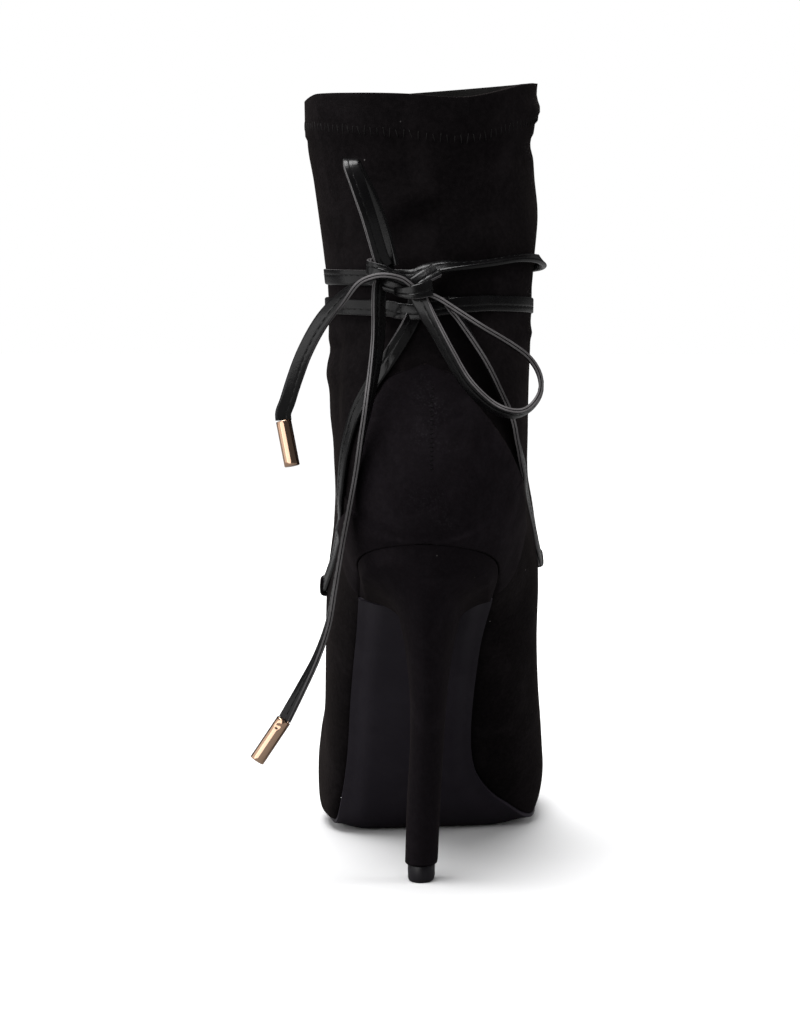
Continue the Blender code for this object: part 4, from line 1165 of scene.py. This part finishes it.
def strip_frames(points, faces, closed=False):
    """Point, direction, face and across vectors along a route."""
    count = len(points)
    frames = []
    for i, (point, face) in enumerate(zip(points, faces)):
        ahead = points[(i + 1) % count] if closed else points[min(i + 1, count - 1)]
        behind = points[i - 1] if closed else points[max(i - 1, 0)]
        tangent = (ahead - behind).normalized()
        normal = (face - tangent * face.dot(tangent)).normalized()
        frames.append((point, tangent, normal, tangent.cross(normal)))
    return frames


def add_stitch(bm, spot, along_thread, normal, length, size):
    """One stitch: a small ball stretched along the thread and pressed flat."""
    across = along_thread.cross(normal)
    axes = Matrix((along_thread * length / 2, across * size / 2, normal * size / 2)).transposed()
    matrix = Matrix.Translation(spot) @ (axes * MM).to_4x4()
    ball = bmesh.ops.create_uvsphere(
        bm, u_segments=BALL_SIDES, v_segments=BALL_RINGS, radius=1.0, matrix=matrix)
    return faces_of(ball["verts"])


def add_strap(bm, points, faces, closed=False, narrow=None):
    """Sweeps the lace's profile along a route, and lays stitches in its groove on both faces."""
    frames = strip_frames(points, faces, closed)
    count = len(frames)
    columns = len(PROFILE)

    def point(row, column):
        centre, tangent, normal, across = frames[row % count]
        u, v = PROFILE[column % columns]
        width = narrow[row % count] if narrow else 1.0
        return centre + (across * u * width + normal * v) * MM

    made = add_grid(bm, count if closed else count - 1, columns, point)
    uv_layer = bm.loops.layers.uv.verify()
    for face in faces_of(made):
        middle = sum(loop[uv_layer].uv.y for loop in face.loops) / len(face.loops)
        if int(middle * columns) in CUT_COLUMNS:
            face.material_index = CUT_SLOT
    bmesh.ops.remove_doubles(bm, verts=made, dist=WELD)
    if not closed:
        bmesh.ops.holes_fill(bm, edges=[edge for edge in bm.edges if edge.is_boundary], sides=0)
    travelled = 0.0
    for (centre, tangent, normal, across), (after, *_) in zip(frames, frames[1:]):
        step = (after - centre).length / MM
        while travelled < step:
            middle = centre.lerp(after, travelled / step)
            for side in (-1, 1):
                spot = middle + (across * GROOVE_AT + normal * side * GROOVE_FLOOR) * MM
                for face in add_stitch(bm, spot, tangent, normal, STITCH_LENGTH, STITCH_SIZE):
                    face.material_index = THREAD_SLOT
            travelled += STITCH_PITCH
        travelled -= step


print("lace profile:", len(PROFILE), "corners")

# %% Routes of the lace on the boot
ANKLE_AXIS = 48.0
LaceRow = namedtuple("LaceRow", "angle height lift roll", defaults=(0,))
LACE_OUTER = table(LaceRow, [
    (-4, 187.0, 0.1), (-4.6, 182.5, 0.1, -10), (-6.2, 178.6, 0.1, -32), (-10.6, 172.4, 0.1, -30),
    (-15.7, 166.2, 0.1, -16), (-22, 158.8, 0.1, -2), (-27.2, 151.6, 0.1, 2), (-30.8, 145.2, 0.1, 2),
    (-34.9, 137.6, 0.1, 2), (-41.6, 128.2, 0.0, 2), (-50, 120.8, -0.5, 2), (-62, 115.8, -1.0),
    (-80, 111.6, -1.3), (-98, 107.8, -1.3), (-112, 102.8, -1.2), (-121, 97.6, -0.9), (-128, 92.6, -0.4),
    (-132.5, 89.6, 0.0), (-137, 88.7, 0.1), (-143, 91.0, 0.1), (-153, 97.0, 0.1), (-166, 109.0, 0.2),
    (-180, 117.5, 0.2), (-195, 113.0, 0.2), (-205, 103.8, 0.1), (-212, 98.8, 0.1), (-217, 98.0, 0.1),
])
LACE_INNER = table(LaceRow, [
    (-216, 98.1, 0.1), (-221, 98.6, 0.0), (-227, 102.2, -0.6), (-234.5, 108.6, -1.1),
    (-242, 114.2, -1.3), (-254, 120.4, -1.3), (-270, 125.0, -1.3), (-289, 129.2, -1.2, -4),
    (-308.3, 135.8, -0.8, -14), (-318.6, 142.3, -0.4, -27), (-324, 148.7, -0.1, -40),
    (-329.6, 156.4, 0.1, -50), (-336.2, 167.5, 0.1, -58), (-345.2, 179.3, 0.1, -56),
    (-348.9, 183.7, 0.1, -46), (-350, 187.0, 0.1, -20),
])
LOWER_TURN = table(LaceRow, [
    (-180, 184.0, 0.1), (-135, 184.5, 0.1), (-90, 185.0, -0.2), (-22, 183.6, 0.4), (-12, 182.6, 1.7),
    (-4, 182.2, 1.8), (6, 183.6, 1.7), (14, 184.4, 1.8), (22, 184.8, 1.0), (35, 185.2, 0.1),
    (90, 184.6, -0.9), (135, 184.2, 0.1), (180, 184.0, 0.1),
])
UPPER_TURN = table(LaceRow, [
    (-180, 196.5, 0.1), (-135, 195.2, 0.1), (-90, 194.2, -0.6), (-40, 193.2, 0.1), (-24, 192.9, 0.4),
    (-14, 193.0, 1.4, 8), (-5, 193.0, 2.0, 30), (0, 195.0, 1.8, 42), (8, 196.4, 0.8, 50),
    (15, 196.7, 0.3, 68), (28, 197.6, 0.1, 80), (44, 199.2, 0.1, 80), (60, 199.6, 0.1, 68),
    (76, 199.0, 0.1, 50), (92, 198.6, 0.1, 26), (112, 198.2, 0.1, 8), (135, 197.8, 0.1),
    (180, 196.5, 0.1),
])
print("rows of the lace's routes:", [len(rows) for rows in (LACE_OUTER, LACE_INNER, LOWER_TURN, UPPER_TURN)])

# %% Drape the lace
LACE_STEP = 1.6
LACE_READINGS = 900
NORMAL_REACH = 10
RAY_START = 0.2


def drape(turn, height):
    """Where a level ray from outside meets the boot, and the way that the boot faces there."""
    outward = Vector((math.sin(turn), -math.cos(turn), 0.0))
    start = place(0.0, ANKLE_AXIS, height) + outward * RAY_START
    hits = [tree.ray_cast(start, -outward) for tree in (upper_tree, counter_tree)]
    hits = [hit for hit in hits if hit[0] is not None]
    hit = min(hits, key=lambda found: found[3])
    return hit[0], hit[1]


def lace_path(rows, closed):
    """Even points along a lace on the boot, and the way that its face looks at each."""
    read = [LaceRow(*row) for row in through(rows, math.ceil(LACE_READINGS / (len(rows) - 1)))]
    hits = [drape(math.radians(row.angle), row.height) for row in read]
    spots = np.array([hit[0] for hit in hits])
    normals = np.array([hit[1] for hit in hits])
    kernel = np.ones(2 * NORMAL_REACH + 1) / (2 * NORMAL_REACH + 1)
    for table in (spots, normals):
        mode = "wrap" if closed else "edge"
        for k in range(3):
            table[:, k] = np.convolve(np.pad(table[:, k], NORMAL_REACH, mode=mode), kernel, "valid")
    lengths = np.concatenate([[0], np.cumsum(np.linalg.norm(np.diff(spots, axis=0), axis=1))])
    steps = round(lengths[-1] / (LACE_STEP * MM))
    places = [int(np.searchsorted(lengths, lengths[-1] * i / steps)) for i in range(steps + 1 - closed)]
    points, faces = [], []
    for k, i in enumerate(places):
        row, normal = read[i], Vector(normals[i]).normalized()
        roll = math.radians(row.roll)
        lift = row.lift + LACE_THICKNESS / 2 * math.cos(roll) + LACE_WIDTH / 2 * abs(math.sin(roll))
        points.append(Vector(spots[i]) + normal * lift * MM)
        before, after = spots[places[k - 1 if k or closed else 0]], spots[places[(k + 1) % len(places)]]
        if k == len(places) - 1 and not closed:
            after = spots[i]
        tangent = Vector(after - before).normalized()
        faces.append(normal * math.cos(roll) - tangent.cross(normal) * math.sin(roll))
    return points, faces


lace_materials = [lace_leather, lace_thread, lace_edge_paint_and_glint]
run_bm = bmesh.new()
add_strap(run_bm, *lace_path(LACE_OUTER[::-1], False))
add_strap(run_bm, *lace_path(LACE_INNER, False))
add_strap(run_bm, *lace_path(LOWER_TURN[::-1], True), True)
add_piece("lace_run_and_lower_turn", run_bm, lace_materials, ["lace_run"])
turn_bm = bmesh.new()
add_strap(turn_bm, *lace_path(UPPER_TURN, True), True)
wrap = add_piece("lace_upper_wrap", turn_bm, lace_materials, ["lace_upper_turn"])
print("upper wrap:", len(wrap.data.polygons), "faces")

# %% Routes of the loops and ends
CordRow = namedtuple("CordRow", "x along height face_x face_y face_z", defaults=(0.0,))
LOOP_UP = table(CordRow, [
    (-12.0, -1.6, 196.4, 0.5, -1.0, -0.2), (-13.2, -3.0, 199.2, 0.6, -1.0, -0.2),
    (-15.0, -5.2, 205.6, 0.65, -1.0, -0.1), (-16.8, -6.8, 212.0, 0.6, -1.0, -0.1),
    (-19.6, -7.4, 220.4, 0.35, -1.0, 0.1), (-21.8, -6.2, 226.4, 0.1, -0.7, 0.8),
    (-22.0, -3.2, 228.4, 0.1, 0.1, 1.0), (-20.6, -0.7, 226.2, 0.5, 0.6, 0.6),
    (-16.6, 0.4, 218.2, 0.7, 0.7, 0.15), (-13.0, 0.8, 208.6, 0.7, 0.7, 0.1),
    (-10.6, 0.4, 200.0, 0.7, 0.7), (-9.8, 0.2, 196.4, 0.7, 0.7),
])
LOOP_SIDE = table(CordRow, [
    (0.8, -1.6, 188.4, -0.5, 0.1, -0.9), (4.8, -1.2, 186.4, -0.5, 0, -0.9),
    (10.0, -1.2, 182.8, -0.6, -0.1, -0.8), (17.8, -1.0, 177.8, -0.5, -0.1, -0.9),
    (25.8, 1.0, 173.0, -0.5, -0.1, -0.9), (31.8, 3.6, 168.6, -0.7, -0.1, -0.7),
    (35.2, 5.2, 163.4, -1, -0.1, -0.2), (35.7, 4.8, 157.8, -0.9, 0.1, 0.4),
    (32.8, 2.2, 153.2, -0.5, 0.3, 0.8), (28.4, -1.2, 151.2, 0, 0.5, 0.9),
    (22.8, -3.8, 152.4, 0.35, 0.6, 0.7), (17.6, -5.4, 156.0, 0.5, 0.65, 0.55),
    (12.4, -6.4, 161.8, 0.6, 0.65, 0.4), (8.0, -6.8, 169.2, 0.65, 0.7, 0.3),
    (3.8, -6.2, 176.8, 0.6, 0.75, 0.3), (0.8, -5.2, 182.0, 0.4, 0.9, 0.2),
    (-1.4, -4.0, 186.4, 0.2, 1, 0.1), (-2.6, -2.4, 189.6, 0.1, 1),
])
END_LEFT = table(CordRow, [
    (-2.6, -3.6, 190.0, 0.4, -0.3, 0.85), (-5.3, -5.4, 191.6, 0.35, -0.1, 0.95),
    (-7.9, -6.8, 192.8, 0.2, 0.05, 1.0), (-12.1, -7.4, 193.3, 0.0, 0.1, 1.0),
    (-15.5, -7.2, 192.8, -0.15, 0.08, 1.0), (-18.9, -6.4, 191.6, -0.3, -0.05, 0.95),
    (-22.0, -5.6, 189.5, -0.4, -0.35, 0.85), (-25.0, -5.0, 186.8, -0.45, -0.65, 0.6),
    (-29.6, -4.0, 182.0, -0.4, -0.9, 0.3), (-33.4, -2.8, 176.6, -0.36, -1.0, 0.15),
    (-37.2, -1.4, 169.4, -0.3, -1.0, 0.05), (-40.0, -0.2, 162.2, -0.05, -1.0),
    (-42.4, 0.8, 155.0, 0.15, -1.0), (-43.8, 1.4, 151.4, 0.15, -1.0), (-43.8, 1.6, 149.0, 0.15, -1.0),
])
TIP_LEFT_END = (-40.9, -0.4, 134.9)
END_DOWN = table(CordRow, [
    (-12.6, -1.6, 193.0, -0.6, 0.8), (-13.6, -2.4, 189.6, -0.65, 0.75), (-13.9, -2.2, 184.6, -0.7, 0.7),
    (-13.9, -2.0, 178.6, -0.7, 0.7), (-14.2, -2.6, 172.6, -0.75, 0.65),
    (-15.3, -3.8, 164.0, -0.85, 0.5), (-17.3, -3.8, 152.4, -0.95, 0.3),
    (-19.2, -1.8, 143.6, -1.0, 0.15), (-21.0, 1.8, 134.2, -1.0, 0.05), (-23.3, 6.0, 123.4, -1.0, 0.0),
    (-25.5, 9.6, 113.4, -1.0, -0.05), (-27.3, 12.2, 104.0, -1.0, -0.05),
    (-29.0, 14.0, 95.0, -1.0, -0.1), (-31.1, 15.0, 84.2, -0.97, -0.2, 0.05),
    (-34.9, 15.6, 73.4, -0.95, -0.3, 0.1), (-40.2, 15.8, 62.8, -0.85, -0.5, 0.1),
    (-45.2, 15.6, 53.4, -0.72, -0.7, 0.1),
])
TIP_DOWN_END = (-54.0, 14.6, 40.2)
print("rows of the free routes:", [len(rows) for rows in (LOOP_UP, LOOP_SIDE, END_LEFT, END_DOWN)])

# %% Free loops and ends
CORD_STEPS = 6


def route(rows):
    read = through(rows, CORD_STEPS)
    return [place(*row[:3]) for row in read], [Vector(row[3:]) for row in read]


def route_length(points):
    return sum((after - before).length for before, after in zip(points, points[1:]))


def make_free_lace(name, cad_node, rows):
    points, faces = route(rows)
    bm = bmesh.new()
    add_strap(bm, points, faces)
    return add_piece(name, bm, lace_materials, [cad_node]), points


loop_up, loop_up_path = make_free_lace("bow_loop_up", "lace_loop_up", LOOP_UP)
loop_side, loop_side_path = make_free_lace("bow_loop_side", "lace_loop_side", LOOP_SIDE)
end_left, end_left_path = make_free_lace("bow_end_left", "lace_end_left", END_LEFT)
end_down, end_down_path = make_free_lace("bow_end_down", "lace_end_down", END_DOWN)
print("loose lace, mm:", [round(route_length(path) * 1000) for path in
                          (loop_up_path, loop_side_path, end_left_path, end_down_path)])

# %% [markdown]
# ## Metal tips
# Each lace end is pinched in a short rose-gold tube with a closed flat end and a small round crimp.
# A profile of a few points is spun into the tube, and the crimp is a soft dent pushed into its
# wall.

# %% Build the tips
TIP_RADIUS = 2.4
TIP_PROFILE = [(1.9, 0.5), (2.05, 0.12), (2.2, 0.0), (2.32, 0.06), (2.4, 0.2), (2.4, 1.4)]
TIP_SPIN_STEPS = 40
TIP_WALL_STEPS = 26
WALL_START = TIP_PROFILE[-1][1]
DENT_AT = 2.6
DENT_RADIUS = 0.85
DENT_DEPTH = 0.4


def make_tip(name, cad_node, cord_points, end, dent_face):
    """A metal tube on the end of the lace, with a small crimp that faces dent_face."""
    last = cord_points[-1]
    axis = place(*end) - last
    way = axis.normalized()
    start = last + way * GAP * MM
    length = (place(*end) - start).length / MM
    rows = list(TIP_PROFILE)
    rows += [(TIP_RADIUS, WALL_START + (length - 2 * WALL_START) * i / TIP_WALL_STEPS)
             for i in range(1, TIP_WALL_STEPS + 1)]
    rows += [(radius, length - height) for radius, height in reversed(TIP_PROFILE[2:-1])]
    bm = bmesh.new()
    corners = [bm.verts.new((radius * MM, 0.0, height * MM)) for radius, height in rows]
    edges = [bm.edges.new(pair) for pair in zip(corners, corners[1:])]
    bmesh.ops.spin(bm, geom=corners + edges, cent=(0, 0, 0), axis=(0, 0, 1), angle=math.tau,
                   steps=TIP_SPIN_STEPS, use_merge=True)
    bmesh.ops.remove_doubles(bm, verts=bm.verts, dist=WELD)
    close_ends(bm)
    turn = Vector((0.0, 0.0, 1.0)).rotation_difference(axis).to_matrix()
    bmesh.ops.rotate(bm, cent=(0.0, 0.0, 0.0), matrix=turn, verts=bm.verts)
    bmesh.ops.translate(bm, vec=start, verts=bm.verts)
    facing = Vector(dent_face) - way * Vector(dent_face).dot(way)
    dent = start + way * DENT_AT * MM + facing.normalized() * TIP_RADIUS * MM
    for vertex in bm.verts:
        away = (vertex.co - dent).length / MM / DENT_RADIUS
        vertex.co -= facing.normalized() * DENT_DEPTH * MM * math.exp(-away ** 4)
    return add_piece(name, bm, [rose_gold], [cad_node], 45.0)


tip_left = make_tip("metal_tip_left", "lace_tip_left", end_left_path, TIP_LEFT_END, (0.3, 1.0, 0.0))
tip_down = make_tip("metal_tip_down", "lace_tip_down", end_down_path, TIP_DOWN_END, (-0.2, -1.0, 0.2))
print("tips:", tip_left.name, tip_down.name)

# %% [markdown]
# ## The knot
# The bow's knot is the lace itself: a belt holds the bases of the loops, and a slanted band wraps
# the upright loop. Short straps of the same profile on listed routes show that better than a
# lump would.

# %% Build the knot
KNOT_BELT = table(CordRow, [
    (2.0, -3.4, 189.8, 0.8, -0.6, 0.1), (-0.2, -6.2, 189.0, 0.2, -1.0, 0.1),
    (-3.2, -6.9, 188.4, 0.0, -1.0, 0.1), (-6.2, -6.1, 188.4, -0.3, -1.0, 0.1),
    (-8.4, -3.8, 188.8, -0.9, -0.4), (-8.0, -0.4, 189.0, -0.9, 0.5), (-3.6, 1.6, 189.0, 0.0, 1.0),
    (1.0, 0.2, 189.4, 0.7, 0.7),
])
BELT_WIDTHS = [1.0, 0.95, 0.85, 0.65, 0.5, 0.5, 0.7, 0.9]
KNOT_BAND = table(CordRow, [
    (-9.6, 1.6, 196.6, 0.2, 1.0, 0.1), (-13.2, 2.4, 196.6, -0.2, 1.0, 0.1),
    (-16.2, 1.2, 196.4, -0.9, 0.4), (-17.0, -2.0, 195.8, -0.9, -0.4),
    (-15.2, -4.8, 195.3, -0.4, -0.9, 0.1), (-12.4, -5.5, 194.7, 0.0, -1.0, 0.3),
    (-9.2, -5.5, 193.4, 0.1, -0.9, 0.45), (-6.0, -5.2, 191.8, 0.2, -0.85, 0.5),
    (-3.4, -4.4, 190.3, 0.2, -0.85, 0.5), (-1.4, -2.6, 188.8, 0.3, -0.8, 0.5),
])
BAND_WIDTHS = [1.0, 1.0, 1.0, 0.95, 0.85, 0.75, 0.65, 0.6, 0.6, 0.6]
KNOT_HEART = table(CordRow, [
    (3.4, 2.6, 195.2, 0.2, -0.8, 0.6), (0.0, -0.4, 193.2, 0.1, -0.9, 0.5),
    (-4.0, -2.6, 190.6, 0.0, -1.0, 0.2), (-8.0, -3.0, 189.8, -0.2, -1.0),
    (-11.4, -2.4, 190.8, -0.3, -1.0), (-14.0, -0.6, 192.4, -0.4, -0.9, 0.1),
    (-16.4, 2.6, 193.2, -0.5, -0.8, 0.1),
])
HEART_WIDTHS = [1.0, 0.9, 0.8, 0.75, 0.8, 0.9, 1.0]


def knot_widths(widths):
    return [row[0] for row in through([(width,) for width in widths], CORD_STEPS)]


knot_bm = bmesh.new()
belt_points, belt_faces = route(KNOT_BELT + KNOT_BELT[:1])
add_strap(knot_bm, belt_points[:-1], belt_faces[:-1], True, knot_widths(BELT_WIDTHS + BELT_WIDTHS[:1])[:-1])
for rows, widths in ((KNOT_BAND, BAND_WIDTHS), (KNOT_HEART, HEART_WIDTHS)):
    add_strap(knot_bm, *route(rows), False, knot_widths(widths))
knot = add_piece("bow_knot", knot_bm, lace_materials, ["lace_knot"])
print("knot faces:", len(knot.data.polygons))

# %% [markdown]
# ## Lace keepers
# On each side of the instep a small suede loop holds the lace. It is a short strap of its own with
# both feet sewn down. A strip is swept over a squarish arch that stands on the upper, and its edges
# are softened with a bevel.

# %% Build the keepers
KEEPER_SECTION = 10.0
KEEPER_SHARES = {-1: 0.48, 1: 0.585}
KEEPER_NODES = {-1: "keeper_lateral", 1: "keeper_medial"}
KEEPER_WIDTH = 6.5
KEEPER_WALL = 1.0
KEEPER_SPAN = 5.8
KEEPER_RISE = 2.7
KEEPER_LIFT = -0.8
KEEPER_SQUARENESS = 0.4
KEEPER_STEPS = 30
KEEPER_COLUMNS = 8
UPRIGHT = Vector((0.0, 0.0, 1.0))

for side in (-1, 1):
    middle = upper_point(KEEPER_SECTION, side, KEEPER_SHARES[side])
    normal = upper_normal(KEEPER_SECTION, side, KEEPER_SHARES[side])
    upward = (UPRIGHT - normal * UPRIGHT.dot(normal)).normalized()
    across = upward.cross(normal)

    def keeper_point(row, column):
        angle = math.radians(-90 + 180 * row / KEEPER_STEPS)
        rise = KEEPER_RISE * max(math.cos(angle), 0.0) ** KEEPER_SQUARENESS
        reach = KEEPER_SPAN / 2 * math.copysign(abs(math.sin(angle)) ** KEEPER_SQUARENESS, angle)
        slide = (column / KEEPER_COLUMNS - 0.5) * KEEPER_WIDTH
        return middle + (normal * (rise + KEEPER_LIFT) + upward * reach + across * slide) * MM

    keeper_bm = bmesh.new()
    corners = add_grid(keeper_bm, KEEPER_STEPS, KEEPER_COLUMNS, keeper_point)
    keeper_bm.normal_update()
    if sum(vertex.normal.dot(normal) for vertex in corners) < 0:
        bmesh.ops.reverse_faces(keeper_bm, faces=faces_of(corners))
    keeper = add_piece(f"suede_{KEEPER_NODES[side]}", keeper_bm, [suede], [KEEPER_NODES[side]], 60.0)
    add_wall(keeper, KEEPER_WALL, 0.0)
    add_bevel(keeper, 0.3, 2, 50.0)
    print("keeper:", keeper.name)

# %% [markdown]
# ## Sewing
# The collar's hem is held by a row of upright stitches, and a zigzag closes the seam up the back of
# the counter. Each stitch is a tiny stretched ball laid on the suede, and all of a row are joined
# in one mesh. Each is set where the surface is nearest, or where a ray from outside meets it, so
# the rows sit on the folds.

# %% Rows of stitches
HEM_STITCH_SECTION = 24.36
HEM_STITCH_PITCH = 2.2
HEM_SAG = 1.8
HEM_SAG_AT = 10
HEM_SAG_REACH = 16
HEM_STITCH_HEIGHT = 3.9
HEM_SLANTS = (-3, 14)
SEAM_STITCH_PITCH = 1.35
SEAM_STITCH_WIDTH = 1.5
SEAM_SLANTS = (-24, 24)
THREAD_SIZE = 0.4
THREAD_SINK = 0.02
SEAM_X = 2.4
SEAM_TOP = 160.0
SEAM_LOW = 133.0
RING_READINGS = 400
BEHIND_BOOT = -60.0


def even_ring(section, pitch):
    """Evenly spaced places round the collar."""
    ring = [upper_point(section, -1, i / RING_READINGS) for i in range(RING_READINGS + 1)]
    ring += [upper_point(section, 1, i / RING_READINGS) for i in range(RING_READINGS, 0, -1)]
    spots, travelled = [], 0.0
    for before, after in zip(ring, ring[1:] + ring[:1]):
        travelled += (after - before).length / MM
        if travelled >= pitch:
            spots.append(after)
            travelled -= pitch
    return spots


hem_bm = bmesh.new()
for i, spot in enumerate(even_ring(HEM_STITCH_SECTION, HEM_STITCH_PITCH)):
    behind = spot.y < place(0, ANKLE_AXIS, 0).y
    sag = HEM_SAG * math.exp(-((spot.x / MM - HEM_SAG_AT) / HEM_SAG_REACH) ** 2) * behind
    surface, normal, _, _ = upper_tree.find_nearest(spot - UPRIGHT * sag * MM)
    slant = math.radians(HEM_SLANTS[i % 2] + 5 * math.sin(2.3 * i))
    up_surface = (UPRIGHT - normal * UPRIGHT.dot(normal)).normalized()
    thread_way = up_surface * math.cos(slant) + normal.cross(up_surface) * math.sin(slant)
    length = HEM_STITCH_HEIGHT * (0.85 + 0.15 * math.sin(1.7 * i))
    add_stitch(hem_bm, surface - normal * THREAD_SINK * MM, thread_way, normal, length, THREAD_SIZE)
hem_stitches = add_piece("hem_stitches", hem_bm, [hem_thread], ["upper"], 180.0)

seam_bm = bmesh.new()
seam_count = int((SEAM_TOP - SEAM_LOW) / SEAM_STITCH_PITCH)
for i in range(seam_count):
    height = SEAM_TOP - i * SEAM_STITCH_PITCH
    surface, normal, _, _ = counter_tree.ray_cast(
        place(SEAM_X, BEHIND_BOOT, height), Vector((0.0, 1.0, 0.0)))
    if surface is None:
        continue
    slant = math.radians(SEAM_SLANTS[i % 2])
    sideways = UPRIGHT.cross(normal).normalized()
    thread_way = sideways * math.cos(slant) + UPRIGHT * math.sin(slant)
    add_stitch(seam_bm, surface - normal * THREAD_SINK * MM, thread_way, normal, SEAM_STITCH_WIDTH,
               THREAD_SIZE)
seam_stitches = add_piece("back_seam_stitches", seam_bm, [thread], ["counter"], 180.0)
stitch_faces = BALL_SIDES * BALL_RINGS
print("hem and seam stitches:",
      [len(row.data.polygons) // stitch_faces for row in (hem_stitches, seam_stitches)])

# Their real length, width and ends are said here, so that whoever uses the boot can let them hang
# and swing.

# %% Cords
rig.cord(loop_up, exit=loop_up_path[0], length=route_length(loop_up_path), diameter=LACE_WIDTH * MM,
        far_end="object", stiffness="limp", lay="loose", path=loop_up_path)
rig.cord(loop_side, exit=loop_side_path[0], length=route_length(loop_side_path), diameter=LACE_WIDTH * MM,
        far_end="object", stiffness="limp", lay="hanging", path=loop_side_path)
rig.cord(end_left, exit=end_left_path[0], length=route_length(end_left_path), diameter=LACE_WIDTH * MM,
        far_end="fitting", stiffness="limp", lay="hanging", path=end_left_path, with_pieces=[tip_left])
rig.cord(end_down, exit=end_down_path[0], length=route_length(end_down_path), diameter=LACE_WIDTH * MM,
        far_end="fitting", stiffness="limp", lay="hanging", path=end_down_path, with_pieces=[tip_down])
print("cords:", [cord.name for cord in (loop_up, loop_side, end_left, end_down)])

# %% [markdown]
# ## Size and finish
# The looks may stand only a little proud of the CAD model, so both boxes are written down to be
# compared.

# %% Finish
boxes = {"cad": [list(corner) for corner in cad_box], "visual": [list(corner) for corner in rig.bounds()]}
Path("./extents.json").write_text(json.dumps(boxes))
print("boxes:", boxes)
